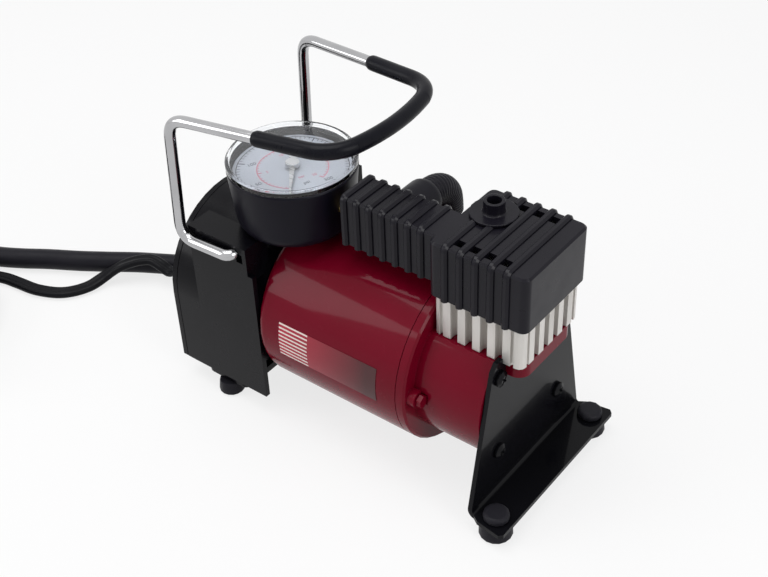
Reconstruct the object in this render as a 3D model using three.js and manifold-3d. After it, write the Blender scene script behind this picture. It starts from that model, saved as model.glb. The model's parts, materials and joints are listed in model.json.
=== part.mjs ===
// A small direct-drive tyre compressor: motor in a round can, crankcase, upright cylinder under a ribbed
// cover, pressure gauge, carrying handle, sheet-metal front stand and a hollow rear housing.
// Millimetres. +Z is up and +X points to the front stand. The origin is on the floor under the middle.
import * as THREE from "three";
import { mergeVertices } from "three/addons/utils/BufferGeometryUtils.js";
import Module from "manifold-3d";

const wasm = await Module();
wasm.setup();

// ---- Clearances ----
const REST = 0.3; // between pieces that touch
const HOLE_PLAY = 0.3; // round a pin, screw or shaft, on the radius
const RUNNING = 1.0; // between a turning piece and the wall beside it

// ---- Motor ----
const AXIS_Z = 45; // height of the motor and crank axis
const CAN_RADIUS = 36;
const CAN_WALL = 2;
const CAN_REAR = -33.6; // rear face of the can
const CAN_LENGTH = 66.1;
const CAN_ROUND = 3; // rounding of the drawn rear edge
const BOSS_RADIUS = 9; // rear bearing boss
const BOSS_LENGTH = 5.4;
const SHAFT_RADIUS = 3;
const BEARING_RADIUS = 7; // rear sleeve bearing
const BEARING_LENGTH = 5;
const FRONT_BEARING_RADIUS = 8;
const FRONT_BEARING_LENGTH = 5;
const CORE_RADIUS = 22.5;
const CORE_LENGTH = 30;
const CORE_SLOTS = 6;
const SLOT_WIDTH = 5;
const SLOT_DEPTH = 9;
const END_TURN = 4; // thickness of the winding past each end of the core
const MAGNET_THICKNESS = 9.5;
const MAGNET_LENGTH = 34;
const MAGNET_HALF_ANGLE = 65; // degrees
const COMMUTATOR_RADIUS = 9;
const COMMUTATOR_LENGTH = 9;
const CARD_THICKNESS = 2;
const BRUSH_WIDTH = 5.6;
const BRUSH_LENGTH = 10;
const BRUSH_DEPTH = 4.4;
const THROUGH_BOLT_CIRCLE = 31.2;
const THROUGH_BOLT_ANGLE = 1.5; // degrees above the horizontal
const THROUGH_BOLT_RADIUS = 1.5;
const THROUGH_BOLT_HEAD = 2.5;
const THROUGH_BOLT_HEAD_HEIGHT = 2;
const LUG_RADIUS = 3.4;
const LUG_LENGTH = 3.2;

// ---- Crankcase and crank ----
const SPIGOT_LENGTH = 3; // of the crankcase inside the can
const RING_THICKNESS = 3.8;
const CRANKCASE_RADIUS = 29.9;
const CRANKCASE_LENGTH = 28.3; // of the round body, from the ring forward
const CHAMBER_RADIUS = 20.5;
const CHAMBER_DEPTH = 20.1;
const SADDLE_TOP = 67.5; // machined seat under the cylinder block
const SADDLE_THICKNESS = 6;
const SADDLE_HALF_WIDTH = 16.5;
const SADDLE_FRONT = 18; // from the cylinder axis to the front edge
const SADDLE_CORNER = 5;
const CRANK_THROW = 6;
const WEB_THICKNESS = 5;
const WEB_HUB = 8;
const COUNTERWEIGHT_RADIUS = 18.5;
const CRANK_PIN_RADIUS = 2.5;
const CRANK_PIN_EYE = 5;

// ---- Cylinder ----
const CYLINDER_GAP = 0.9; // between the crankcase ring and the cylinder block
const BORE_RADIUS = 11.6;
const LINER_WALL = 1.2;
const BLOCK_HEIGHT = 17.1;
const FIN_PITCH = 6.2;
const FIN_GROOVE = 3.0;
const FIN_DEPTH = 4.2;
const EDGE_GROOVE = 1.4; // the groove beside each corner column
const EDGE_DEPTH = 1.5;
const FIN_SHIFT = -0.4; // of the middle fin from the cylinder axis, along X
const FINS = 5; // between the corner columns
const CORNER_COLUMN = 3.1;
const BLOCK_CORNER = 2.6;
const BLOCK_SIZE = FINS * FIN_PITCH - FIN_GROOVE + 2 * (EDGE_GROOVE + CORNER_COLUMN); // square
const ROD_OPENING_RADIUS = 8.5;
const ROD_LENGTH = 29; // big end to the underside of the piston
const ROD_WIDTH = 7;
const ROD_THICKNESS = 4;
const BIG_END_RADIUS = 6.5;
const BIG_END_THICKNESS = 5;
const PISTON_THICKNESS = 2.2;
const CUP_HEIGHT = 1.8;
const CUP_WALL = 0.9;
const HEAD_SIZE = 33; // valve plate and cylinder head, square
const HEAD_HEIGHT = 14;
const HEAD_CORNER = 4;
const VALVE_PLATE = 2;
const HEAD_POCKET_HEIGHT = 11;
const PORT_RADIUS = 2;
const CYLINDER_BOLT_INSET = 3.3; // from the head's edge
const CYLINDER_BOLT_OFFSET = HEAD_SIZE / 2 - CYLINDER_BOLT_INSET; // from the cylinder axis along X and Y
const CYLINDER_BOLT_RADIUS = 1.6;
const CYLINDER_BOLT_HEAD = 3.2;
const CYLINDER_BOLT_HEAD_HEIGHT = 2.5;
const CYLINDER_BOLT_GRIP = 4; // into the saddle

// ---- Cover ----
const COVER_TOP = 107.9;
const COVER_WALL = 2;
const COVER_SIDE_GAP = 1.2; // from the head to the cover's wall, along Y
const COVER_END_GAP = 1.55; // the same, along X
const COVER_HALF_WIDTH = HEAD_SIZE / 2 + COVER_WALL + COVER_SIDE_GAP;
const COVER_LENGTH = HEAD_SIZE + 2 * (COVER_WALL + COVER_END_GAP);
const COVER_CORNER = 3;
const COVER_BEVEL = 0.8;
const NECK_NEAR = -16; // y of the neck's outer side
const NECK_FAR = 0.7;
const NECK_BOTTOM = 88;
const NECK_REAR = -3.2;
const RIB_WIDTH = 2.8;
const RIB_PROUD = 1.25;
const RIB_CHAMFER = 0.8;
const RIB_SHOULDER = 2.2;
const HEAD_RIBS = 5;
const NECK_RIBS = 7;
const NECK_RIB_PITCH = 5.6;
const VENT_SIZE = 3.4;
const VENT_INSET = 3.2;
const INTAKE_X = 46;
const INTAKE_Y = 6;
const INTAKE_DISC_RADIUS = 8.8;
const INTAKE_DISC = 1.1;
const INTAKE_RADIUS = 3.9;
const INTAKE_WALL = 0.9;
const INTAKE_TOP = 114;

// ---- Air line ----
const AIR_Z = 97;
const AIR_Y = -7.6;
const MANIFOLD_SIZE = 9;
const STEM_RADIUS = 2.8;
const OUTLET_X = 10.6; // where the hose leaves, toward +Y
const BARB_RADIUS = 3;
const BARB_LENGTH = 12;
const BOOT_RADIUS = 7.4;
const BOOT_LENGTH = 15; // of its straight collar
const ELBOW_RADIUS = 6;
const HOSE_RADIUS = 4.75;

// ---- Gauge ----
const GAUGE_X = -34;
const GAUGE_BOTTOM = 82.3;
const GAUGE_TOP = 107.4;
const GAUGE_RADIUS = 24.7;
const GAUGE_FOOT_RADIUS = 22.8;
const GAUGE_EDGE = 5; // rounding of the case's lower edge
const GAUGE_WALL = 2.4;
const DIAL_Z = 103.6;
const DIAL_THICKNESS = 0.6;
const LENS_THICKNESS = 1.3;
const LENS_RIM = 1.8;
const LENS_RIM_HEIGHT = 1.3;
const MOVEMENT_RADIUS = 8;
const MOVEMENT_REACH = 10; // of the movement's block toward the stem
const SPINDLE_RADIUS = 0.9;
const NEEDLE_LENGTH = 17.5;
const NEEDLE_TAIL = 7;
const NEEDLE_ZERO = -52.5; // degrees from +X, where the needle rests

// ---- Front stand ----
const STAND_FACE_X = 67;
const SHEET = 1.8;
const SHEET_BEND = 1.5;
const STAND_TOP = 70;
const STAND_TOP_HALF = 24;
const FLANGE_TOP = 8;
const FLANGE_REACH = 15; // from the front face
const FLANGE_HALF = 40;
const STAND_BASE_INSET = 3;
const STAND_BASE_HALF = FLANGE_HALF - STAND_BASE_INSET;
const STAND_SCREWS = [
  ["lower_left", -20, 27],
  ["lower_right", 20, 27],
  ["upper_left", -20.5, 62.5],
  ["upper_right", 20.5, 62.5],
]; // name, y, z
const STAND_SCREW_RADIUS = 1.5;
const STAND_SCREW_LENGTH = 9;
const STAND_SCREW_HEAD = 3.1;
const STAND_SCREW_HEAD_HEIGHT = 1.7;

// ---- Feet ----
const FOOT_RADIUS = 6.5;
const REAR_FOOT_RADIUS = 5.4;
const FOOT_NECK = 3;
const FOOT_CAP = 5;
const FOOT_CAP_HEIGHT = 2.8;
const FRONT_FOOT_X = 75.2;
const FRONT_FOOT_INSET = 7; // from the flange's end
const FRONT_FOOT_Y = FLANGE_HALF - FRONT_FOOT_INSET;
const REAR_FOOT_X = -57;
const REAR_STEM_INSET = 4.6; // the rear feet's stems stand this much nearer the middle

// ---- Rear housing ----
const HOUSING_HALF = 35;
const REAR_FOOT_INSET = 3.5; // from the housing's side
const REAR_FOOT_Y = HOUSING_HALF - REAR_FOOT_INSET;
const HOUSING_TOP = 78.5;
const HOUSING_BOTTOM = 9.9;
const HOUSING_FRONT = -34;
const HOUSING_REAR = -80.2; // outer face of the rear cover
const HOUSING_WALL = 2.2;
const MOUTH_TOP = 28; // of the opening under the can, between the side plates
const MOUTH_DEPTH = 14; // of the same opening in the floor
const SLOT_DROP = 3.5; // of the slot beside each pivot hole
const REAR_COVER = 2.5;
const WING_REAR = -65.5;
const WING_TOP = 70;
const EAR_TOP = 82;
const EAR_FRONT = -36.3;
const EAR_INNER = 23;
const EAR_BOTTOM = 66;
const BASE_THICKNESS = 3.4;
const BASE_REAR = -68;
const BASE_FRONT = -46;
const BASE_INSET = 1.4; // from the housing's side
const BASE_HALF = HOUSING_HALF - BASE_INSET;
const COVER_LIP = 3; // of the snap-in lip behind the rear cover
const COVER_LIP_WALL = 1.6;

// ---- Switch ----
const SWITCH_Z = 56;
const SWITCH_WIDTH = 13;
const SWITCH_HEIGHT = 19;
const SWITCH_RIM = 1.6;
const SWITCH_WALL = 1.2;
const SWITCH_DEPTH = 12;
const ROCKER_SWING = 8; // degrees each side of level

// ---- Handle ----
const PIVOT_X = -42;
const PIVOT_Z = 78.4;
const WIRE_RADIUS = 2.25;
const GRIP_RADIUS = 3.4;
const PIVOT_DEPTH = 8; // of the wire's end in the ear
const PIVOT_BEND = 3.4; // set back of each bend from its corner
const SIDE_BEND = 8;
const FRONT_BEND = 11;
const BOW_BEND = 20;
const BEND_STEPS = 5;
const GRIP_SIDES = 8;

// ---- Cord and plug ----
const CORD_WIDTH = 6.4;
const CORD_THICKNESS = 3.2;
const GLAND_Y = 5;
const GLAND_Z = 22;
const GLAND_RADIUS = 6;
const GLAND_TIP = 4.2;
const GLAND_LENGTH = 24;
const COIL_RADIUS = 33; // middle of the turns
const COIL_WIDTH = 20;
const COIL_HEIGHT = 16.8;
const COIL_X = -206.6;
const COIL_Y = -89.3;
const PLUG_RADIUS = 10.5;
const PLUG_TAIL_RADIUS = 4;
const PLUG_TAIL_LENGTH = 15;
const PLUG_GRIP_LENGTH = 24;
const PLUG_NOSE_RADIUS = 9;
const PLUG_NOSE_LENGTH = 22;
const PLUG_TIP_RADIUS = 3;
const PLUG_TIP_TRAVEL = 3;
const PLUG_TIP_DEPTH = 9; // of the tip's well
const CLIP_WIDTH = 5;
const CLIP_THICKNESS = 0.8;
const CLIP_LENGTH = 14;
const CLIP_PROUD = 1.2;

// ---- Hose end ----
const CONNECTOR_RADIUS = 8;
const CONNECTOR_LENGTH = 27;
const CONNECTOR_BORE = 4.2;
const CONNECTOR_HEADING = 270; // degrees from +X
const LEVER_LENGTH = 26;
const LEVER_WIDTH = 6;
const LEVER_THICKNESS = 2.4;
const LEVER_PIN_RADIUS = 1.2;
const LEVER_LIFT = 8; // degrees at rest, closed

// ---- Finishes: colour, roughness, metalness ----
const RED = [0x7d0a1c, 0.22, 0.1];
const GLOSS_BLACK = [0x08080a, 0.15, 0.1];
const SATIN_BLACK = [0x17171a, 0.5, 0];
const RUBBER = [0x101012, 0.75, 0];
const CHROME = [0xd8d8da, 0.12, 1];
const STEEL = [0xa9abad, 0.35, 1];
const ALUMINIUM = [0xc9c8c2, 0.45, 0.9];
const BRASS = [0xb8933f, 0.3, 1];
const COPPER = [0xb5673a, 0.35, 0.9];
const FERRITE = [0x2c2c2f, 0.7, 0];
const BRONZE = [0x8d6a3c, 0.5, 0.8];
const PHENOLIC = [0x6a3b1c, 0.6, 0];
const CARBON = [0x1f1f20, 0.6, 0.1];
const PTFE = [0xe9e7e0, 0.5, 0];
const DIAL_WHITE = [0xf2f3f4, 0.5, 0];
const CLEAR = [0xdfe6ea, 0.05, 0];

// ---- Worked-out places ----
const CAN_FRONT = CAN_REAR + CAN_LENGTH;
const CAN_INNER = CAN_RADIUS - CAN_WALL;
const RING_REAR = CAN_FRONT + REST;
const RING_FRONT = RING_REAR + RING_THICKNESS;
const CRANKCASE_FRONT = RING_FRONT + CRANKCASE_LENGTH;
const CYLINDER_X = RING_FRONT + CYLINDER_GAP + BLOCK_SIZE / 2;
const CHAMBER_REAR = CRANKCASE_FRONT - CHAMBER_DEPTH;
const STAND_REAR_X = STAND_FACE_X - SHEET;
const BLOCK_BOTTOM = SADDLE_TOP + REST;
const BLOCK_TOP = BLOCK_BOTTOM + BLOCK_HEIGHT;
const LINER_RADIUS = BORE_RADIUS + LINER_WALL;
const VALVE_BOTTOM = BLOCK_TOP + REST;
const VALVE_TOP = VALVE_BOTTOM + VALVE_PLATE;
const HEAD_BOTTOM = VALVE_TOP + REST;
const HEAD_TOP = HEAD_BOTTOM + HEAD_HEIGHT;
const HEAD_REAR = CYLINDER_X - HEAD_SIZE / 2;
const COVER_REAR = CYLINDER_X - COVER_LENGTH / 2;
const COVER_BOTTOM = BLOCK_TOP + REST;
const FLANGE_BOTTOM = FLANGE_TOP - SHEET;
const MANIFOLD_FRONT = HEAD_REAR - REST;
const MANIFOLD_REAR = NECK_REAR + COVER_WALL + REST;
const STEM_END = GAUGE_X + MOVEMENT_REACH + REST;
const MOVEMENT_TOP = AIR_Z + STEM_RADIUS;
const BOOT_START = NECK_FAR + REST;
const HOUSING_ARC_Z = HOUSING_TOP - HOUSING_HALF;
const FIN_X = CYLINDER_X + FIN_SHIFT;
const ROD_REAR = CYLINDER_X - BIG_END_THICKNESS / 2;
const CRANK_PIN_END = ROD_REAR - REST; // the pin stops short of the big end: the open pivot
const WEB_FRONT = ROD_REAR - 2;
const WEB_REAR = WEB_FRONT - WEB_THICKNESS;
const CRANK_PIN_Z = AXIS_Z + CRANK_THROW;
const PISTON_BOTTOM = CRANK_PIN_Z + ROD_LENGTH;
const PISTON_TOP = PISTON_BOTTOM + PISTON_THICKNESS;
const COIL_OUTER = COIL_RADIUS + COIL_WIDTH / 2;

// ---- Solids ----
function manifoldOf(positions, triangles) {
  const made = new wasm.Manifold(
    new wasm.Mesh({ numProp: 3, vertProperties: positions, triVerts: triangles }),
  );
  if (made.volume() >= 0) return made;
  // A profile drawn the other way round gives faces that point inwards.
  const turned = new Uint32Array(triangles);
  for (let i = 0; i < turned.length; i += 3) {
    [turned[i + 1], turned[i + 2]] = [turned[i + 2], turned[i + 1]];
  }
  return new wasm.Manifold(
    new wasm.Mesh({ numProp: 3, vertProperties: positions, triVerts: turned }),
  );
}

function solid(geometry) {
  const bare = geometry.clone();
  bare.deleteAttribute("normal");
  bare.deleteAttribute("uv");
  const merged = mergeVertices(bare, 1e-4);
  return manifoldOf(
    new Float32Array(merged.attributes.position.array),
    new Uint32Array(merged.index.array),
  );
}

function geometryOf(made) {
  const mesh = made.getMesh();
  const positions = new Float32Array(mesh.numVert * 3);
  for (let i = 0; i < mesh.numVert; i++) {
    positions.set(mesh.vertProperties.subarray(i * mesh.numProp, i * mesh.numProp + 3), i * 3);
  }
  const geometry = new THREE.BufferGeometry();
  geometry.setAttribute("position", new THREE.BufferAttribute(positions, 3));
  geometry.setIndex(new THREE.BufferAttribute(mesh.triVerts, 1));
  geometry.computeVertexNormals();
  return geometry;
}

const join = (...parts) => parts.reduce((whole, part) => whole.add(part));
const cut = (whole, ...tools) => tools.reduce((rest, tool) => rest.subtract(tool), whole);

function box(x0, x1, y0, y1, z0, z1) {
  const geometry = new THREE.BoxGeometry(x1 - x0, y1 - y0, z1 - z0);
  return solid(geometry.translate((x0 + x1) / 2, (y0 + y1) / 2, (z0 + z1) / 2));
}

// Turns a profile of [radius, height] points about an axis; a profile off the axis closes on itself.
function turned(profile, segments) {
  const points = profile.map(([r, h]) => new THREE.Vector2(r, h));
  const onAxis = points[0].x === 0 && points.at(-1).x === 0;
  if (!onAxis) points.push(points[0].clone());
  return new THREE.LatheGeometry(points, segments);
}

const turnedX = (profile, y, z, segments = 24) =>
  solid(turned(profile, segments).rotateZ(-Math.PI / 2).translate(0, y, z));
const turnedY = (profile, x, z, segments = 24) => solid(turned(profile, segments).translate(x, 0, z));
const turnedZ = (profile, x, y, segments = 24) =>
  solid(turned(profile, segments).rotateX(Math.PI / 2).translate(x, y, 0));

const rodProfile = (radius, from, to) => [
  [0, from],
  [radius, from],
  [radius, to],
  [0, to],
];
const ringProfile = (inner, outer, from, to) => [
  [inner, from],
  [outer, from],
  [outer, to],
  [inner, to],
];
const rodX = (radius, x0, x1, y, z, segments) => turnedX(rodProfile(radius, x0, x1), y, z, segments);
const rodY = (radius, y0, y1, x, z, segments) => turnedY(rodProfile(radius, y0, y1), x, z, segments);
const rodZ = (radius, z0, z1, x, y, segments) => turnedZ(rodProfile(radius, z0, z1), x, y, segments);

// Extrudes a flat outline: along Z from an (x, y) outline, along X from (y, z), along Y from (x, z).
const alongZ = (shape, z0, z1, curveSegments = 6) =>
  solid(
    new THREE.ExtrudeGeometry(shape, { depth: z1 - z0, bevelEnabled: false, curveSegments })
      .translate(0, 0, z0),
  );
const ACROSS = new THREE.Matrix4().makeBasis(
  new THREE.Vector3(0, 1, 0),
  new THREE.Vector3(0, 0, 1),
  new THREE.Vector3(1, 0, 0),
);
function alongX(shape, x0, x1, curveSegments = 6) {
  const geometry = new THREE.ExtrudeGeometry(shape, { depth: x1 - x0, bevelEnabled: false, curveSegments });
  return solid(geometry.applyMatrix4(ACROSS).translate(x0, 0, 0));
}
function alongY(shape, y0, y1, curveSegments = 6) {
  const geometry = new THREE.ExtrudeGeometry(shape, { depth: y1 - y0, bevelEnabled: false, curveSegments });
  const turn = new THREE.Matrix4().makeBasis(
    new THREE.Vector3(1, 0, 0),
    new THREE.Vector3(0, 0, 1),
    new THREE.Vector3(0, -1, 0),
  );
  return solid(geometry.applyMatrix4(turn).translate(0, y1, 0));
}

function outline(points) {
  const shape = new THREE.Shape();
  points.forEach(([u, v], i) => (i ? shape.lineTo(u, v) : shape.moveTo(u, v)));
  shape.closePath();
  return shape;
}

function roundedRectangle(u0, u1, v0, v1, radius) {
  const shape = new THREE.Shape();
  shape.moveTo(u0 + radius, v0);
  shape.lineTo(u1 - radius, v0);
  shape.absarc(u1 - radius, v0 + radius, radius, -Math.PI / 2, 0);
  shape.lineTo(u1, v1 - radius);
  shape.absarc(u1 - radius, v1 - radius, radius, 0, Math.PI / 2);
  shape.lineTo(u0 + radius, v1);
  shape.absarc(u0 + radius, v1 - radius, radius, Math.PI / 2, Math.PI);
  shape.lineTo(u0, v0 + radius);
  shape.absarc(u0 + radius, v0 + radius, radius, Math.PI, 1.5 * Math.PI);
  return shape;
}

// A flat-bottomed arch in (y, z), narrower than the housing by inset all round.
function arch(inset) {
  const half = HOUSING_HALF - inset;
  const shape = new THREE.Shape();
  shape.moveTo(-half, HOUSING_BOTTOM + inset);
  shape.lineTo(half, HOUSING_BOTTOM + inset);
  shape.lineTo(half, HOUSING_ARC_Z);
  shape.absarc(0, HOUSING_ARC_Z, half, 0, Math.PI);
  shape.closePath();
  return shape;
}

// A curve through given stations, each a point and a tangent, so that a wire and its sleeve share them.
class Stations extends THREE.Curve {
  constructor(stations) {
    super();
    this.stations = stations;
  }
  stationAt(u) {
    return this.stations[Math.round(u * (this.stations.length - 1))];
  }
  getPointAt(u, target = new THREE.Vector3()) {
    return target.copy(this.stationAt(u).point);
  }
  getTangentAt(u, target = new THREE.Vector3()) {
    return target.copy(this.stationAt(u).tangent);
  }
}

const sweep = (shape, path, steps, curveSegments = 5) =>
  solid(new THREE.ExtrudeGeometry(shape, { steps, extrudePath: path, bevelEnabled: false, curveSegments }));

function disc(radius, hole = 0) {
  const shape = new THREE.Shape().absarc(0, 0, radius, 0, 2 * Math.PI);
  if (hole > 0) shape.holes.push(new THREE.Path().absarc(0, 0, hole, 0, 2 * Math.PI, true));
  return shape;
}

const vectors = (points) => points.map((p) => new THREE.Vector3(...p));
const smooth = (points) => new THREE.CatmullRomCurve3(vectors(points), false, "centripetal");

// A route along which a flat section keeps its width level, whichever way the route turns.
class LevelRoute extends THREE.CatmullRomCurve3 {
  constructor(points) {
    super(vectors(points), false, "centripetal");
  }
  computeFrenetFrames(segments) {
    const up = new THREE.Vector3(0, 0, 1);
    const tangents = Array.from({ length: segments + 1 }, (_, i) => this.getTangentAt(i / segments));
    const normals = tangents.map((t) => new THREE.Vector3().crossVectors(up, t).normalize());
    const binormals = tangents.map((t, i) => new THREE.Vector3().crossVectors(t, normals[i]));
    return { tangents, normals, binormals };
  }
}

const compressor = new THREE.Group();

function add(name, shape, [color, roughness, metalness], parent = compressor) {
  const material = new THREE.MeshStandardMaterial({ color, roughness, metalness });
  const mesh = new THREE.Mesh(geometryOf(shape), material);
  mesh.name = name;
  parent.add(mesh);
  return mesh;
}

const sides = [
  ["left", -1],
  ["right", 1],
];

// ---- Motor ----
const boltAngle = THREE.MathUtils.degToRad(THROUGH_BOLT_ANGLE);
const boltY = THROUGH_BOLT_CIRCLE * Math.cos(boltAngle);
const boltZ = AXIS_Z + THROUGH_BOLT_CIRCLE * Math.sin(boltAngle);
const LUG_FRONT = RING_FRONT + LUG_LENGTH;

function throughBoltHoles(x0, x1) {
  return sides.map(([, side]) => rodX(THROUGH_BOLT_RADIUS + HOLE_PLAY, x0, x1, side * boltY, boltZ, 12));
}

function motorCan() {
  const edge = [];
  for (let i = 0; i <= 3; i++) {
    const angle = (i / 3) * (Math.PI / 2);
    edge.push([
      CAN_RADIUS - CAN_ROUND + CAN_ROUND * Math.sin(angle),
      CAN_REAR + CAN_ROUND - CAN_ROUND * Math.cos(angle),
    ]);
  }
  const seat = BEARING_RADIUS + HOLE_PLAY;
  const can = turnedX(
    [
      [0, CAN_REAR - BOSS_LENGTH],
      [BOSS_RADIUS, CAN_REAR - BOSS_LENGTH],
      [BOSS_RADIUS, CAN_REAR],
      ...edge,
      [CAN_RADIUS, CAN_FRONT],
      [CAN_INNER, CAN_FRONT],
      [CAN_INNER, CAN_REAR + CAN_ROUND],
      [CAN_RADIUS - CAN_ROUND, CAN_REAR + CAN_WALL],
      [seat, CAN_REAR + CAN_WALL],
      [seat, CAN_REAR - BOSS_LENGTH + CAN_WALL],
      [0, CAN_REAR - BOSS_LENGTH + CAN_WALL],
    ],
    0,
    AXIS_Z,
    40,
  );
  return cut(can, ...throughBoltHoles(CAN_REAR - 1, CAN_REAR + CAN_ROUND));
}

const BEARING_REAR = CAN_REAR - BOSS_LENGTH + CAN_WALL + REST;
const CORE_FRONT = CAN_FRONT - SPIGOT_LENGTH - RUNNING - END_TURN - 2 * REST;
const CORE_REAR = CORE_FRONT - CORE_LENGTH;
const SLOT_INNER = CORE_RADIUS - SLOT_DEPTH;
const WINDING_REAR = CORE_REAR - REST - END_TURN;
const COMMUTATOR_FRONT = WINDING_REAR - REST;
const COMMUTATOR_REAR = COMMUTATOR_FRONT - COMMUTATOR_LENGTH;
const CARD_REAR = COMMUTATOR_REAR + REST;
const CARD_FRONT = CARD_REAR + CARD_THICKNESS;
const BRUSH_INNER = COMMUTATOR_RADIUS + REST;

// The core's slots, or the winding bars that fill them, as one set of straight blocks.
function slotBlocks(width, inner, outer, x0, x1) {
  const blocks = [];
  for (let i = 0; i < CORE_SLOTS; i++) {
    const angle = ((i + 0.5) * 2 * Math.PI) / CORE_SLOTS;
    const block = new THREE.BoxGeometry(x1 - x0, width, outer - inner);
    block.translate((x0 + x1) / 2, 0, (inner + outer) / 2);
    blocks.push(solid(block.rotateX(angle).translate(0, 0, AXIS_Z)));
  }
  return join(...blocks);
}

function armatureCore() {
  const round = turnedX(
    ringProfile(SHAFT_RADIUS + HOLE_PLAY, CORE_RADIUS, CORE_REAR, CORE_FRONT),
    0,
    AXIS_Z,
    24,
  );
  return cut(
    round,
    slotBlocks(SLOT_WIDTH, SLOT_INNER, CORE_RADIUS + 1, CORE_REAR - 1, CORE_FRONT + 1),
  );
}

function armatureWinding() {
  const bars = slotBlocks(
    SLOT_WIDTH - 2 * REST,
    SLOT_INNER + REST,
    CORE_RADIUS - 2 * REST,
    CORE_REAR - REST - 1,
    CORE_FRONT + REST + 1,
  );
  const ends = [CORE_REAR - REST - END_TURN, CORE_FRONT + REST].map((x) =>
    turnedX(ringProfile(SLOT_INNER - 3, CORE_RADIUS - 1, x, x + END_TURN), 0, AXIS_Z, 20),
  );
  return join(bars, ...ends);
}

function magnet(up) {
  const outer = CAN_INNER - REST;
  const inner = outer - MAGNET_THICKNESS;
  const half = THREE.MathUtils.degToRad(MAGNET_HALF_ANGLE);
  const middle = up * (Math.PI / 2);
  const shape = new THREE.Shape();
  shape.absarc(0, AXIS_Z, outer, middle - half, middle + half);
  shape.absarc(0, AXIS_Z, inner, middle + half, middle - half, true);
  const centre = (CORE_REAR + CORE_FRONT) / 2;
  return alongX(shape, centre - MAGNET_LENGTH / 2, centre + MAGNET_LENGTH / 2, 14);
}

function brushCard() {
  const plate = turnedX(
    ringProfile(COMMUTATOR_RADIUS + RUNNING + 1, CAN_INNER - REST, CARD_REAR, CARD_FRONT),
    0,
    AXIS_Z,
    28,
  );
  const wall = 1;
  const slotHalf = BRUSH_WIDTH / 2 + REST;
  const holders = sides.map(([, side]) => {
    const y0 = side > 0 ? BRUSH_INNER + 1.5 : -BRUSH_INNER - 1.5 - BRUSH_LENGTH;
    const holder = box(
      CARD_FRONT - 0.5,
      CARD_FRONT + REST + BRUSH_DEPTH + REST + wall,
      y0,
      y0 + BRUSH_LENGTH,
      AXIS_Z - slotHalf - wall,
      AXIS_Z + slotHalf + wall,
    );
    const room = box(
      CARD_FRONT,
      CARD_FRONT + BRUSH_DEPTH + 2 * REST,
      y0 - 1,
      y0 + BRUSH_LENGTH + 1,
      AXIS_Z - slotHalf,
      AXIS_Z + slotHalf,
    );
    return cut(holder, room);
  });
  return cut(join(plate, ...holders), ...throughBoltHoles(CARD_REAR - 1, CARD_FRONT + 1));
}

function brush(side) {
  const y0 = side > 0 ? BRUSH_INNER : -BRUSH_INNER - BRUSH_LENGTH;
  const x0 = CARD_FRONT + REST;
  const half = BRUSH_WIDTH / 2;
  return box(x0, x0 + BRUSH_DEPTH, y0, y0 + BRUSH_LENGTH, AXIS_Z - half, AXIS_Z + half);
}

function throughBolt(side) {
  const shank = rodX(THROUGH_BOLT_RADIUS, CAN_REAR + 0.5, LUG_FRONT + REST + 0.5, side * boltY, boltZ, 10);
  const seat = LUG_FRONT + REST;
  const head = rodX(THROUGH_BOLT_HEAD, seat, seat + THROUGH_BOLT_HEAD_HEIGHT, side * boltY, boltZ, 6);
  return join(shank, head);
}

const FRONT_BEARING_REAR = RING_REAR + REST;
const FRONT_BEARING_FRONT = FRONT_BEARING_REAR + FRONT_BEARING_LENGTH;

add("motor_can", motorCan(), RED);
add(
  "rear_bearing",
  turnedX(
    ringProfile(SHAFT_RADIUS + HOLE_PLAY, BEARING_RADIUS, BEARING_REAR, BEARING_REAR + BEARING_LENGTH),
    0,
    AXIS_Z,
  ),
  BRONZE,
);
add("motor_shaft", rodX(SHAFT_RADIUS, BEARING_REAR, WEB_FRONT, 0, AXIS_Z, 20), STEEL);
add("armature_core", armatureCore(), STEEL);
add("armature_winding", armatureWinding(), COPPER);
add(
  "commutator",
  turnedX(
    ringProfile(SHAFT_RADIUS + HOLE_PLAY, COMMUTATOR_RADIUS, COMMUTATOR_REAR, COMMUTATOR_FRONT),
    0,
    AXIS_Z,
  ),
  COPPER,
);
add("magnet_upper", magnet(1), FERRITE);
add("magnet_lower", magnet(-1), FERRITE);
add("brush_card", brushCard(), PHENOLIC);
for (const [name, side] of sides) {
  add(`brush_${name}`, brush(side), CARBON);
  add(`through_bolt_${name}`, throughBolt(side), RED);
}
add(
  "front_bearing",
  turnedX(
    ringProfile(SHAFT_RADIUS + HOLE_PLAY, FRONT_BEARING_RADIUS, FRONT_BEARING_REAR, FRONT_BEARING_FRONT),
    0,
    AXIS_Z,
  ),
  STEEL,
);

// ---- Crankcase ----
const boltCorners = [];
for (const [alongName, sx] of [["rear", -1], ["front", 1]]) {
  for (const [sideName, sy] of sides) {
    boltCorners.push([
      `${alongName}_${sideName}`,
      CYLINDER_X + sx * CYLINDER_BOLT_OFFSET,
      sy * CYLINDER_BOLT_OFFSET,
    ]);
  }
}
const boltHoles = (z0, z1) =>
  boltCorners.map(([, x, y]) => rodZ(CYLINDER_BOLT_RADIUS + HOLE_PLAY, z0, z1, x, y, 12));

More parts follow.
